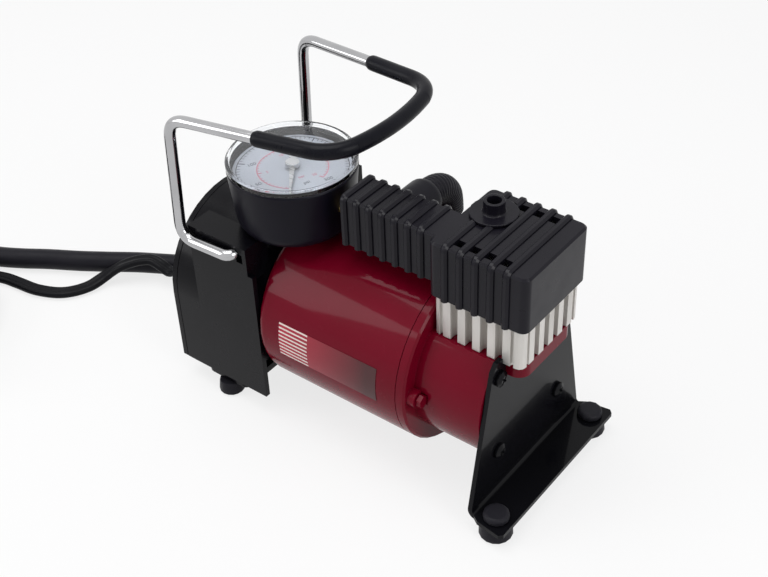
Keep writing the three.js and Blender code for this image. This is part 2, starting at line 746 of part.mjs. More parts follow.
function crankcase() {
  const seat = FRONT_BEARING_RADIUS + HOLE_PLAY;
  const body = turnedX(
    [
      [seat, RING_REAR - SPIGOT_LENGTH],
      [CAN_INNER - REST, RING_REAR - SPIGOT_LENGTH],
      [CAN_INNER - REST, RING_REAR],
      [CAN_RADIUS, RING_REAR],
      [CAN_RADIUS, RING_FRONT - 0.8],
      [CAN_RADIUS - 0.8, RING_FRONT],
      [CRANKCASE_RADIUS, RING_FRONT],
      [CRANKCASE_RADIUS, CRANKCASE_FRONT],
      [CHAMBER_RADIUS, CRANKCASE_FRONT],
      [CHAMBER_RADIUS, CHAMBER_REAR],
      [SHAFT_RADIUS + RUNNING, CHAMBER_REAR],
      [SHAFT_RADIUS + RUNNING, FRONT_BEARING_FRONT + REST],
      [seat, FRONT_BEARING_FRONT + REST],
    ],
    0,
    AXIS_Z,
    40,
  );
  const saddle = alongZ(
    roundedRectangle(
      RING_FRONT - 1,
      CYLINDER_X + SADDLE_FRONT,
      -SADDLE_HALF_WIDTH,
      SADDLE_HALF_WIDTH,
      SADDLE_CORNER,
    ),
    SADDLE_TOP - SADDLE_THICKNESS,
    SADDLE_TOP + 1,
  );
  const lugs = sides.map(([, side]) =>
    rodX(LUG_RADIUS, RING_FRONT - 1, LUG_FRONT, side * boltY, boltZ, 16),
  );
  // Room beside the body for each bolt head.
  const headRoom = sides.map(([, side]) =>
    rodX(
      THROUGH_BOLT_HEAD + REST,
      LUG_FRONT,
      LUG_FRONT + THROUGH_BOLT_HEAD_HEIGHT + 3 * REST,
      side * boltY,
      boltZ,
      12,
    ),
  );
  const machined = box(RING_FRONT, STAND_FACE_X + 30, -CAN_RADIUS, CAN_RADIUS, SADDLE_TOP, EAR_TOP + 20);
  const chamber = rodX(CHAMBER_RADIUS, CHAMBER_REAR, CRANKCASE_FRONT, 0, AXIS_Z, 32);
  return cut(
    join(body, saddle, ...lugs),
    machined,
    chamber,
    ...headRoom,
    rodZ(ROD_OPENING_RADIUS, AXIS_Z, SADDLE_TOP + 1, CYLINDER_X, 0, 32),
    ...boltHoles(SADDLE_TOP - CYLINDER_BOLT_GRIP - REST, SADDLE_TOP + 1),
    ...throughBoltHoles(RING_REAR - SPIGOT_LENGTH - 1, LUG_FRONT + 1),
    ...STAND_SCREWS.map(([, y, z]) =>
      rodX(
        STAND_SCREW_RADIUS + HOLE_PLAY,
        CRANKCASE_FRONT - STAND_SCREW_LENGTH,
        CRANKCASE_FRONT + 1,
        y,
        z,
        12,
      ),
    ),
  );
}

function crank() {
  const start = THREE.MathUtils.degToRad(205);
  const end = THREE.MathUtils.degToRad(335);
  const weight = new THREE.Shape();
  weight.moveTo(0, AXIS_Z);
  weight.absarc(0, AXIS_Z, COUNTERWEIGHT_RADIUS, start, end);
  weight.closePath();
  const web = join(
    alongX(weight, WEB_REAR, WEB_FRONT, 12),
    rodX(WEB_HUB, WEB_REAR, WEB_FRONT, 0, AXIS_Z, 32),
    rodX(CRANK_PIN_EYE, WEB_REAR, WEB_FRONT, 0, CRANK_PIN_Z, 24),
  );
  return join(
    cut(web, rodX(SHAFT_RADIUS + HOLE_PLAY, WEB_REAR - 1, WEB_FRONT + 1, 0, AXIS_Z, 20)),
    rodX(CRANK_PIN_RADIUS, WEB_FRONT - 1, CRANK_PIN_END, 0, CRANK_PIN_Z, 16),
  );
}

add("crankcase", crankcase(), RED);
add("crank", crank(), STEEL);

// ---- Piston ----
function pistonRod() {
  const bearingSeat = CRANK_PIN_RADIUS + HOLE_PLAY;
  const bigEnd = turnedX(
    ringProfile(bearingSeat, BIG_END_RADIUS, ROD_REAR, ROD_REAR + BIG_END_THICKNESS),
    0,
    CRANK_PIN_Z,
    28,
  );
  const shank = box(
    CYLINDER_X - ROD_THICKNESS / 2,
    CYLINDER_X + ROD_THICKNESS / 2,
    -ROD_WIDTH / 2,
    ROD_WIDTH / 2,
    CRANK_PIN_Z + bearingSeat + 0.5,
    PISTON_BOTTOM + 1,
  );
  const piston = rodZ(BORE_RADIUS - 2 * REST, PISTON_BOTTOM, PISTON_TOP, CYLINDER_X, 0, 28);
  return join(bigEnd, shank, piston);
}

function pistonCup() {
  const outer = BORE_RADIUS - REST;
  const floor = PISTON_TOP + REST;
  return turnedZ(
    [
      [0, floor],
      [outer, floor],
      [outer, floor + CUP_HEIGHT],
      [outer - CUP_WALL, floor + CUP_HEIGHT],
      [outer - CUP_WALL, floor + CUP_WALL],
      [0, floor + CUP_WALL],
    ],
    CYLINDER_X,
    0,
    28,
  );
}

add("piston_rod", pistonRod(), ALUMINIUM);
add("piston_cup", pistonCup(), PTFE);

// ---- Cylinder block, fluted all round ----
function flutedOutline() {
  const half = BLOCK_SIZE / 2;
  const finsHalf = (FINS * FIN_PITCH - FIN_GROOVE) / 2;
  const points = [];
  // A round-bottomed groove centred at u.
  function groove(u, width, deep, place) {
    const w = width / 2;
    place(u - w, half);
    place(u - w, half - deep + w);
    place(u - w * 0.6, half - deep + w * 0.3);
    place(u, half - deep);
    place(u + w * 0.6, half - deep + w * 0.3);
    place(u + w, half - deep + w);
    place(u + w, half);
  }
  // One side runs along u and ends with its corner.
  function side(middle, place) {
    groove(middle - finsHalf - EDGE_GROOVE / 2, EDGE_GROOVE, EDGE_DEPTH, place);
    for (let i = 1; i < FINS; i++) {
      groove(middle + (i - FINS / 2) * FIN_PITCH, FIN_GROOVE, FIN_DEPTH, place);
    }
    groove(middle + finsHalf + EDGE_GROOVE / 2, EDGE_GROOVE, EDGE_DEPTH, place);
    for (let k = 0; k <= 3; k++) {
      const angle = (k / 3) * (Math.PI / 2);
      place(
        half - BLOCK_CORNER + BLOCK_CORNER * Math.sin(angle),
        half - BLOCK_CORNER + BLOCK_CORNER * Math.cos(angle),
      );
    }
  }
  const at = (x, y) => points.push([CYLINDER_X + x, y]);
  side(0, (u, v) => at(v, -u));
  side(-FIN_SHIFT, (u, v) => at(-u, -v));
  side(0, (u, v) => at(-v, u));
  side(FIN_SHIFT, (u, v) => at(u, v));
  return outline(points);
}

function squarePlate(z0, z1) {
  const half = HEAD_SIZE / 2;
  return alongZ(
    roundedRectangle(CYLINDER_X - half, CYLINDER_X + half, -half, half, HEAD_CORNER),
    z0,
    z1,
    4,
  );
}

const OUTLET_PORT = [CYLINDER_X - 4, AIR_Y + 2];
const INTAKE_PORT = [CYLINDER_X - 4, INTAKE_Y];

function cylinderHead() {
  const pocketTop = HEAD_BOTTOM + HEAD_POCKET_HEIGHT;
  const outletPocket = box(
    HEAD_REAR + 5,
    CYLINDER_X + 8,
    AIR_Y - 3,
    -1,
    HEAD_BOTTOM - 1,
    pocketTop,
  );
  const intakePocket = box(INTAKE_X - 3, CYLINDER_X + 8, 1, 10, HEAD_BOTTOM - 1, pocketTop);
  return cut(
    squarePlate(HEAD_BOTTOM, HEAD_TOP),
    outletPocket,
    intakePocket,
    rodX(PORT_RADIUS, HEAD_REAR - 1, HEAD_REAR + 8, AIR_Y, AIR_Z, 16),
    rodZ(INTAKE_RADIUS - INTAKE_WALL, pocketTop - 2, HEAD_TOP + 1, INTAKE_X, INTAKE_Y, 20),
    ...boltHoles(HEAD_BOTTOM - 1, HEAD_TOP + 1),
  );
}

function cylinderBolt(x, y) {
  const bottom = SADDLE_TOP - CYLINDER_BOLT_GRIP;
  const shank = rodZ(CYLINDER_BOLT_RADIUS, bottom, HEAD_TOP + REST + 0.5, x, y, 10);
  const seat = HEAD_TOP + REST;
  const head = rodZ(CYLINDER_BOLT_HEAD, seat, seat + CYLINDER_BOLT_HEAD_HEIGHT, x, y, 6);
  return join(shank, head);
}

add(
  "cylinder_block",
  cut(
    alongZ(flutedOutline(), BLOCK_BOTTOM, BLOCK_TOP),
    rodZ(LINER_RADIUS + HOLE_PLAY, BLOCK_BOTTOM - 1, BLOCK_TOP + 1, CYLINDER_X, 0, 32),
    ...boltHoles(BLOCK_BOTTOM - 1, BLOCK_TOP + 1),
  ),
  ALUMINIUM,
);
add(
  "cylinder_liner",
  turnedZ(ringProfile(BORE_RADIUS, LINER_RADIUS, BLOCK_BOTTOM, BLOCK_TOP), CYLINDER_X, 0, 32),
  STEEL,
);
add(
  "valve_plate",
  cut(
    squarePlate(VALVE_BOTTOM, VALVE_TOP),
    rodZ(PORT_RADIUS, VALVE_BOTTOM - 1, VALVE_TOP + 1, ...OUTLET_PORT, 12),
    rodZ(PORT_RADIUS, VALVE_BOTTOM - 1, VALVE_TOP + 1, ...INTAKE_PORT, 12),
    ...boltHoles(VALVE_BOTTOM - 1, VALVE_TOP + 1),
  ),
  STEEL,
);
add("cylinder_head", cylinderHead(), ALUMINIUM);
for (const [name, x, y] of boltCorners) add(`cylinder_bolt_${name}`, cylinderBolt(x, y), STEEL);

// ---- Ribbed cover ----
// A rib that runs over the top and down both sides, standing proud of them.
function hoop(x, yNear, yFar, bottom) {
  const y0 = yNear - RIB_PROUD + RIB_CHAMFER;
  const y1 = yFar + RIB_PROUD - RIB_CHAMFER;
  const top = COVER_TOP + RIB_PROUD - RIB_CHAMFER;
  const shape = new THREE.Shape();
  shape.moveTo(y0, bottom);
  shape.lineTo(y1, bottom);
  shape.lineTo(y1, top - RIB_SHOULDER);
  shape.absarc(y1 - RIB_SHOULDER, top - RIB_SHOULDER, RIB_SHOULDER, 0, Math.PI / 2);
  shape.lineTo(y0 + RIB_SHOULDER, top);
  shape.absarc(y0 + RIB_SHOULDER, top - RIB_SHOULDER, RIB_SHOULDER, Math.PI / 2, Math.PI);
  shape.closePath();
  const flat = RIB_WIDTH - 2 * RIB_CHAMFER;
  const geometry = new THREE.ExtrudeGeometry(shape, {
    depth: flat,
    bevelEnabled: true,
    bevelThickness: RIB_CHAMFER,
    bevelSize: RIB_CHAMFER,
    bevelSegments: 1,
    curveSegments: 3,
  });
  const whole = solid(geometry.applyMatrix4(ACROSS).translate(x - flat / 2, 0, 0));
  const below = box(x - RIB_WIDTH, x + RIB_WIDTH, y0 - RIB_WIDTH, y1 + RIB_WIDTH, bottom - RIB_WIDTH, bottom);
  return cut(whole, below);
}

function roundedBlock(x0, x1, y0, y1, z0, z1, radius) {
  const half = COVER_BEVEL;
  const shape = roundedRectangle(x0 + half, x1 - half, y0 + half, y1 - half, radius - half);
  const geometry = new THREE.ExtrudeGeometry(shape, {
    depth: z1 - z0,
    bevelEnabled: true,
    bevelThickness: half,
    bevelSize: half,
    bevelSegments: 1,
    curveSegments: 3,
  });
  const whole = solid(geometry.translate(0, 0, z0 - half));
  return cut(whole, box(x0 - 5, x1 + 5, y0 - 5, y1 + 5, z0 - 5, z0));
}

const headRibs = Array.from(
  { length: HEAD_RIBS },
  (_, i) => FIN_X + (i - (HEAD_RIBS - 1) / 2) * FIN_PITCH,
);
const neckRibs = Array.from(
  { length: NECK_RIBS },
  (_, i) => NECK_REAR + RIB_WIDTH / 2 - RIB_PROUD + i * NECK_RIB_PITCH,
);

function topCover() {
  const front = COVER_REAR + COVER_LENGTH;
  const head = roundedBlock(
    COVER_REAR,
    front,
    -COVER_HALF_WIDTH,
    COVER_HALF_WIDTH,
    COVER_BOTTOM,
    COVER_TOP,
    COVER_CORNER,
  );
  const neck = roundedBlock(
    NECK_REAR,
    COVER_REAR + COVER_CORNER + 2,
    NECK_NEAR,
    NECK_FAR,
    NECK_BOTTOM,
    COVER_TOP,
    1.5,
  );
  const wall = COVER_WALL;
  const hollow = box(
    COVER_REAR + wall,
    front - wall,
    -COVER_HALF_WIDTH + wall,
    COVER_HALF_WIDTH - wall,
    COVER_BOTTOM - 1,
    COVER_TOP - wall,
  );
  const neckHollow = box(
    NECK_REAR + wall,
    COVER_REAR + wall + 1,
    NECK_NEAR + wall,
    NECK_FAR - wall,
    NECK_BOTTOM - 1,
    COVER_TOP - wall,
  );
  const vents = [];
  for (let i = 0; i < HEAD_RIBS - 1; i++) {
    const x = headRibs[i] + FIN_PITCH / 2;
    for (const side of [-1, 1]) {
      if (side > 0 && i === 0) continue;
      const y = side * (COVER_HALF_WIDTH - VENT_INSET - VENT_SIZE / 2);
      vents.push(
        box(
          x - VENT_SIZE / 2,
          x + VENT_SIZE / 2,
          y - VENT_SIZE / 2,
          y + VENT_SIZE / 2,
          COVER_TOP - wall - 1,
          COVER_TOP + 2,
        ),
      );
    }
  }
  const stemHole = INTAKE_RADIUS - INTAKE_WALL + 0.5 + REST;
  const ribs = [
    ...headRibs.map((x) => hoop(x, -COVER_HALF_WIDTH, COVER_HALF_WIDTH, COVER_BOTTOM)),
    ...neckRibs.map((x) => hoop(x, NECK_NEAR, NECK_FAR, NECK_BOTTOM)),
  ];
  return cut(
    join(head, neck, ...ribs),
    hollow,
    neckHollow,
    ...vents,
    rodZ(INTAKE_DISC_RADIUS + REST, COVER_TOP, COVER_TOP + 5, INTAKE_X, INTAKE_Y, 22),
    rodZ(stemHole, COVER_TOP - wall - 1, COVER_TOP + 1, INTAKE_X, INTAKE_Y, 16),
    rodX(STEM_RADIUS + HOLE_PLAY, NECK_REAR - 3, MANIFOLD_REAR, AIR_Y, AIR_Z, 16),
    rodY(BARB_RADIUS + 2 + REST, NECK_FAR - wall - 1, NECK_FAR + 3, OUTLET_X, AIR_Z, 24),
    rodY(BOOT_RADIUS + REST, NECK_FAR, NECK_FAR + 3, OUTLET_X, AIR_Z, 24),
  );
}

function intakeSpigot() {
  const inner = INTAKE_RADIUS - INTAKE_WALL;
  const base = COVER_TOP + REST;
  const stem = inner + 0.5;
  return turnedZ(
    [
      [inner - 0.4, HEAD_TOP + REST],
      [stem, HEAD_TOP + REST],
      [stem, base],
      [INTAKE_DISC_RADIUS, base],
      [INTAKE_DISC_RADIUS, base + INTAKE_DISC],
      [INTAKE_RADIUS + 0.4, base + INTAKE_DISC],
      [INTAKE_RADIUS, base + INTAKE_DISC + 1],
      [INTAKE_RADIUS, INTAKE_TOP],
      [inner - 0.4, INTAKE_TOP],
    ],
    INTAKE_X,
    INTAKE_Y,
    22,
  );
}

add("top_cover", topCover(), SATIN_BLACK);
add("intake_spigot", intakeSpigot(), SATIN_BLACK);
// ---- Air line and hose outlet ----
function airManifold() {
  const half = MANIFOLD_SIZE / 2;
  const side = AIR_Y + half;
  const barbEnd = BOOT_START + BARB_LENGTH;
  const bar = box(MANIFOLD_REAR, MANIFOLD_FRONT, AIR_Y - half, side, AIR_Z - half, AIR_Z + half);
  const stem = rodX(STEM_RADIUS, STEM_END, MANIFOLD_REAR + 1, AIR_Y, AIR_Z, 16);
  const barb = turnedY(
    [
      [0, side - 1],
      [BARB_RADIUS + 2, side - 1],
      [BARB_RADIUS + 2, side + 1.5],
      [BARB_RADIUS, side + 2],
      [BARB_RADIUS, barbEnd - 2],
      [BARB_RADIUS - 0.5, barbEnd],
      [0, barbEnd],
    ],
    OUTLET_X,
    AIR_Z,
    20,
  );
  return cut(
    join(bar, stem, barb),
    rodX(PORT_RADIUS, STEM_END - 1, MANIFOLD_FRONT + 1, AIR_Y, AIR_Z, 12),
    rodY(PORT_RADIUS, AIR_Y, barbEnd + 1, OUTLET_X, AIR_Z, 12),
  );
}

const BOOT_END = BOOT_START + BOOT_LENGTH;
const elbowEnd = [10.9, 28.2, 83.6];
const elbowRoute = [
  [OUTLET_X, BOOT_END - 4, AIR_Z],
  [OUTLET_X, BOOT_END, AIR_Z],
  [10.8, 20.4, 96.6],
  [11, 24.2, 94.8],
  [11.1, 26.8, 91.6],
  [11, 27.8, 87.6],
  elbowEnd,
];

// A smooth collar over the barb, and the elbow that turns the hose down.
function hoseBoot() {
  const bore = BARB_RADIUS + HOLE_PLAY;
  const collar = turnedY(
    [
      [0, BOOT_START],
      [BOOT_RADIUS, BOOT_START],
      [BOOT_RADIUS, BOOT_END - 2.5],
      [BOOT_RADIUS - 0.6, BOOT_END - 0.6],
      [ELBOW_RADIUS - 0.6, BOOT_END],
      [0, BOOT_END],
    ],
    OUTLET_X,
    AIR_Z,
    28,
  );
  const [x, y, z] = elbowEnd;
  const channel = [...elbowRoute, [x - 0.1, y + 0.3, z - 3]];
  return cut(
    join(collar, sweep(disc(ELBOW_RADIUS), smooth(elbowRoute), 10, 8)),
    rodY(bore, BOOT_START - 1, BOOT_END - 3, OUTLET_X, AIR_Z, 16),
    sweep(disc(bore), smooth(channel), 11, 6),
  );
}

add("air_manifold", airManifold(), BRASS);
add("hose_boot", hoseBoot(), RUBBER);

// ---- Gauge ----
const gaugeInner = GAUGE_FOOT_RADIUS - GAUGE_WALL;

function gaugeCase() {
  const shelf = DIAL_Z - REST;
  const shell = turnedZ(
    [
      [0, GAUGE_BOTTOM],
      [GAUGE_FOOT_RADIUS - GAUGE_EDGE, GAUGE_BOTTOM],
      [GAUGE_FOOT_RADIUS - GAUGE_EDGE * 0.3, GAUGE_BOTTOM + GAUGE_EDGE * 0.3],
      [GAUGE_FOOT_RADIUS, GAUGE_BOTTOM + GAUGE_EDGE],
      [GAUGE_RADIUS, GAUGE_TOP],
      [GAUGE_RADIUS - 2, GAUGE_TOP],
      [GAUGE_RADIUS - 2, shelf],
      [gaugeInner, shelf],
      [gaugeInner, GAUGE_BOTTOM + GAUGE_EDGE],
      [gaugeInner - GAUGE_WALL, GAUGE_BOTTOM + GAUGE_WALL],
      [0, GAUGE_BOTTOM + GAUGE_WALL],
    ],
    GAUGE_X,
    AIR_Y,
    40,
  );
  return cut(shell, rodX(STEM_RADIUS + HOLE_PLAY, GAUGE_X + 10, NECK_REAR, AIR_Y, AIR_Z, 16));
}

function needle() {
  const z = DIAL_Z + DIAL_THICKNESS + 1;
  const pointer = alongZ(
    outline([
      [-NEEDLE_TAIL, -1.5],
      [-NEEDLE_TAIL, 1.5],
      [0, 1.1],
      [NEEDLE_LENGTH, 0.25],
      [NEEDLE_LENGTH, -0.25],
      [0, -1.1],
    ]),
    z,
    z + 0.5,
  );
  const hub = rodZ(2.6, z, z + 1.5, 0, 0, 20);
  const spindle = rodZ(SPINDLE_RADIUS, MOVEMENT_TOP + REST, z + 0.2, 0, 0, 12);
  return join(pointer, hub, spindle);
}

add("gauge_case", gaugeCase(), SATIN_BLACK);
add(
  "gauge_movement",
  join(
    box(
      GAUGE_X - MOVEMENT_REACH / 2,
      GAUGE_X + MOVEMENT_REACH,
      AIR_Y - MOVEMENT_REACH / 2,
      AIR_Y + MOVEMENT_REACH / 2,
      GAUGE_BOTTOM + GAUGE_WALL + REST,
      MOVEMENT_TOP - 1,
    ),
    rodZ(MOVEMENT_RADIUS, MOVEMENT_TOP - 2, MOVEMENT_TOP, GAUGE_X, AIR_Y, 28),
  ),
  BRASS,
);
add(
  "gauge_dial",
  turnedZ(
    ringProfile(SPINDLE_RADIUS + 0.6, GAUGE_RADIUS - 2 - REST, DIAL_Z, DIAL_Z + DIAL_THICKNESS),
    GAUGE_X,
    AIR_Y,
    32,
  ),
  DIAL_WHITE,
);
const needleGroup = new THREE.Group();
needleGroup.position.set(GAUGE_X, AIR_Y, 0);
needleGroup.rotation.z = THREE.MathUtils.degToRad(NEEDLE_ZERO);
compressor.add(needleGroup);
add("gauge_needle", needle(), STEEL, needleGroup);
const LENS_BOTTOM = GAUGE_TOP + REST;
add(
  "gauge_lens",
  turnedZ(
    [
      [0, LENS_BOTTOM],
      [GAUGE_RADIUS, LENS_BOTTOM],
      [GAUGE_RADIUS, LENS_BOTTOM + LENS_THICKNESS + LENS_RIM_HEIGHT - 0.6],
      [GAUGE_RADIUS - 0.6, LENS_BOTTOM + LENS_THICKNESS + LENS_RIM_HEIGHT],
      [GAUGE_RADIUS - LENS_RIM, LENS_BOTTOM + LENS_THICKNESS + LENS_RIM_HEIGHT],
      [GAUGE_RADIUS - LENS_RIM - 0.6, LENS_BOTTOM + LENS_THICKNESS],
      [0, LENS_BOTTOM + LENS_THICKNESS],
    ],
    GAUGE_X,
    AIR_Y,
    40,
  ),
  CLEAR,
);

// ---- Front stand: one bent sheet ----
function frontStand() {
  const inner = SHEET_BEND;
  const outer = SHEET_BEND + SHEET;
  const frontEdge = STAND_FACE_X + FLANGE_REACH;
  const profile = new THREE.Shape();
  profile.moveTo(STAND_REAR_X, STAND_TOP + 5);
  profile.lineTo(STAND_REAR_X, FLANGE_BOTTOM + outer);
  profile.absarc(STAND_REAR_X + outer, FLANGE_BOTTOM + outer, outer, Math.PI, 1.5 * Math.PI);
  profile.lineTo(frontEdge, FLANGE_BOTTOM);
  profile.lineTo(frontEdge, FLANGE_TOP);
  profile.lineTo(STAND_FACE_X + inner, FLANGE_TOP);
  profile.absarc(STAND_FACE_X + inner, FLANGE_TOP + inner, inner, 1.5 * Math.PI, Math.PI, true);
  profile.lineTo(STAND_FACE_X, STAND_TOP + 5);
  profile.closePath();
  const sheet = alongY(profile, -FLANGE_HALF, FLANGE_HALF, 5);
  const saddleHalf = SADDLE_HALF_WIDTH + REST;
  const blockHalf = BLOCK_SIZE / 2 + REST;
  const notch = SADDLE_TOP - SADDLE_THICKNESS - REST;
  const bendFront = STAND_FACE_X + inner;
  const upright = alongX(
    outline([
      [-STAND_BASE_HALF, FLANGE_BOTTOM],
      [STAND_BASE_HALF, FLANGE_BOTTOM],
      [STAND_BASE_HALF - 0.4, FLANGE_TOP + 2],
      [STAND_TOP_HALF + 0.6, STAND_TOP - 3],
      [STAND_TOP_HALF - 2, STAND_TOP],
      [blockHalf, STAND_TOP],
      [blockHalf, SADDLE_TOP],
      [saddleHalf, SADDLE_TOP - REST],
      [saddleHalf, notch],
      [-saddleHalf, notch],
      [-saddleHalf, SADDLE_TOP - REST],
      [-blockHalf, SADDLE_TOP],
      [-blockHalf, STAND_TOP],
      [-STAND_TOP_HALF + 2, STAND_TOP],
      [-STAND_TOP_HALF - 0.6, STAND_TOP - 3],
      [-STAND_BASE_HALF + 0.4, FLANGE_TOP + 2],
    ]),
    STAND_REAR_X - 1,
    bendFront,
  );
  const flange = alongZ(
    outline([
      [bendFront - 0.5, -STAND_BASE_HALF],
      [bendFront + 2, -STAND_BASE_HALF - 1.6],
      [frontEdge - 1.5, -FLANGE_HALF],
      [frontEdge, -FLANGE_HALF + 1.5],
      [frontEdge, FLANGE_HALF - 1.5],
      [frontEdge - 1.5, FLANGE_HALF],
      [bendFront + 2, STAND_BASE_HALF + 1.6],
      [bendFront - 0.5, STAND_BASE_HALF],
    ]),
    FLANGE_BOTTOM - 1,
    FLANGE_TOP + inner,
  );
  const plate = sheet.intersect(join(upright, flange));
  return cut(
    plate,
    ...STAND_SCREWS.map(([, y, z]) =>
      rodX(STAND_SCREW_RADIUS + HOLE_PLAY, STAND_REAR_X - 1, STAND_FACE_X + 1, y, z, 12),
    ),
    ...sides.map(([, side]) =>
      rodZ(FOOT_NECK + HOLE_PLAY, FLANGE_BOTTOM - 1, FLANGE_TOP + 1, FRONT_FOOT_X, side * FRONT_FOOT_Y, 16),
    ),
  );
}

function standScrew(y, z) {
  const seat = STAND_FACE_X + REST;
  const shank = rodX(
    STAND_SCREW_RADIUS,
    CRANKCASE_FRONT - STAND_SCREW_LENGTH + REST,
    seat + 0.5,
    y,
    z,
    10,
  );
  const head = turnedX(
    [
      [0, seat],
      [STAND_SCREW_HEAD, seat],
      [STAND_SCREW_HEAD, seat + STAND_SCREW_HEAD_HEIGHT * 0.5],
      [STAND_SCREW_HEAD * 0.55, seat + STAND_SCREW_HEAD_HEIGHT],
      [0, seat + STAND_SCREW_HEAD_HEIGHT],
    ],
    y,
    z,
    14,
  );
  return join(shank, head);
}

add("front_stand", frontStand(), GLOSS_BLACK);
for (const [name, y, z] of STAND_SCREWS) add(`stand_screw_${name}`, standScrew(y, z), GLOSS_BLACK);

// ---- Rubber feet: a pad below the sheet, a neck through it and a cap above ----
function foot(radius, x, y, stemY, sheetBottom, sheetTop) {
  const padTop = sheetBottom - REST;
  const capBottom = sheetTop + REST;
  const capTop = capBottom + FOOT_CAP_HEIGHT;
  const pad = turnedZ(
    [
      [0, 0],
      [radius - 0.8, 0],
      [radius, 0.8],
      [radius - 0.6, padTop],
      [0, padTop],
    ],
    x,
    y,
    16,
  );
  const stem = turnedZ(
    [
      [0, padTop - 1],
      [FOOT_NECK, padTop - 1],
      [FOOT_NECK, capBottom],
      [FOOT_CAP, capBottom],
      [FOOT_CAP, capTop - 0.8],
      [FOOT_CAP - 1, capTop],
      [0, capTop],
    ],
    x,
    stemY,
    12,
  );
  return join(pad, stem);
}

const BASE_TOP = HOUSING_BOTTOM - REST;
const BASE_BOTTOM = BASE_TOP - BASE_THICKNESS;
const REAR_STEM_Y = REAR_FOOT_Y - REAR_STEM_INSET;
for (const [name, side] of sides) {
  const frontY = side * FRONT_FOOT_Y;
  add(
    `front_foot_${name}`,
    foot(FOOT_RADIUS, FRONT_FOOT_X, frontY, frontY, FLANGE_BOTTOM, FLANGE_TOP),
    RUBBER,
  );
  const housingFloor = HOUSING_BOTTOM + HOUSING_WALL;
  add(
    `rear_foot_${name}`,
    foot(
      REAR_FOOT_RADIUS,
      REAR_FOOT_X,
      side * REAR_FOOT_Y,
      side * REAR_STEM_Y,
      BASE_BOTTOM,
      housingFloor,
    ),
    RUBBER,
  );
}

// ---- Rear housing ----
const rearFootHoles = (z0, z1) =>
  sides.map(([, side]) => rodZ(FOOT_NECK + HOLE_PLAY, z0, z1, REAR_FOOT_X, side * REAR_STEM_Y, 16));
const SHELL_REAR = HOUSING_REAR + REAR_COVER + REST;

function ear(side) {
  const [y0, y1] = side > 0 ? [EAR_INNER, HOUSING_HALF] : [-HOUSING_HALF, -EAR_INNER];
  return box(WING_REAR, EAR_FRONT, y0, y1, EAR_BOTTOM, EAR_TOP);
}

function rearHousing() {
  const bulkhead = HOUSING_FRONT - HOUSING_WALL;
  const inner = HOUSING_HALF - HOUSING_WALL;
  const shell = alongX(arch(0), SHELL_REAR, HOUSING_FRONT, 10);
  const wings = cut(
    box(WING_REAR, HOUSING_FRONT, -HOUSING_HALF, HOUSING_HALF, HOUSING_ARC_Z, WING_TOP),
    box(WING_REAR - 1, HOUSING_FRONT + 1, -inner, inner, HOUSING_ARC_Z - 1, WING_TOP + 1),
  );
  const hollow = alongX(arch(HOUSING_WALL), SHELL_REAR - 1, bulkhead, 10);
  const seat = rodX(CAN_RADIUS - CAN_ROUND - 0.5, bulkhead, CAN_REAR - REST, 0, AXIS_Z, 40);
  const mouth = join(
    box(bulkhead - 1, HOUSING_FRONT + 1, -inner, inner, HOUSING_BOTTOM - 1, MOUTH_TOP),
    box(
      HOUSING_FRONT - MOUTH_DEPTH,
      HOUSING_FRONT + 1,
      -inner,
      inner,
      HOUSING_BOTTOM - 1,
      HOUSING_BOTTOM + HOUSING_WALL + 0.5,
    ),
  );
  const depth = PIVOT_DEPTH + REST;
  const slotDepth = 1.6;
  const sockets = sides.flatMap(([, side]) => {
    const face = side * HOUSING_HALF;
    const span = (inwards) => [face - side * inwards, face + side].sort((a, b) => a - b);
    return [
      rodY(WIRE_RADIUS + HOLE_PLAY, ...span(depth), PIVOT_X, PIVOT_Z, 20),
      box(PIVOT_X + 0.8, PIVOT_X + 3.8, ...span(slotDepth), PIVOT_Z - SLOT_DROP, PIVOT_Z + 0.5),
    ];
  });
  return cut(
    join(cut(join(shell, wings, ear(-1), ear(1)), hollow), seat),
    mouth,
    rodX(BOSS_RADIUS + HOLE_PLAY, bulkhead - 1, CAN_REAR + 1, 0, AXIS_Z, 24),
    ...sockets,
    ...rearFootHoles(HOUSING_BOTTOM - 1, HOUSING_BOTTOM + HOUSING_WALL + 1),
  );
}

const GLAND_HOLE = GLAND_RADIUS - 1.5;

function rearCover() {
  const inside = HOUSING_REAR + REAR_COVER;
  const plate = alongX(arch(0), HOUSING_REAR, inside, 10);
  const lip = cut(
    alongX(arch(HOUSING_WALL + REST), inside - 0.5, inside + COVER_LIP, 10),
    alongX(arch(HOUSING_WALL + REST + COVER_LIP_WALL), inside, inside + COVER_LIP + 1, 10),
  );
  const halfWidth = SWITCH_WIDTH / 2 + SWITCH_WALL + REST;
  const halfHeight = SWITCH_HEIGHT / 2 + SWITCH_WALL + REST;
  return cut(
    join(plate, lip),
    box(
      HOUSING_REAR - 1,
      inside + 1,
      -halfWidth,
      halfWidth,
      SWITCH_Z - halfHeight,
      SWITCH_Z + halfHeight,
    ),
    rodX(GLAND_HOLE + REST, HOUSING_REAR - 1, inside + 1, GLAND_Y, GLAND_Z, 20),
  );
}

function switchFrame() {
  const w = SWITCH_WIDTH / 2;
  const h = SWITCH_HEIGHT / 2;
  const wall = SWITCH_WALL;
  const rimBack = HOUSING_REAR - REST;
  const wide = w + wall;
  const tall = h + wall;
  const body = box(rimBack - 0.5, rimBack + SWITCH_DEPTH, -wide, wide, SWITCH_Z - tall, SWITCH_Z + tall);
  const rim = box(
    rimBack - 1,
    rimBack,
    -w - wall - SWITCH_RIM,
    w + wall + SWITCH_RIM,
    SWITCH_Z - h - wall - SWITCH_RIM,
    SWITCH_Z + h + wall + SWITCH_RIM,
  );
  const room = box(rimBack - 3, rimBack + SWITCH_DEPTH - wall, -w, w, SWITCH_Z - h, SWITCH_Z + h);
  return cut(join(body, rim), room);
}

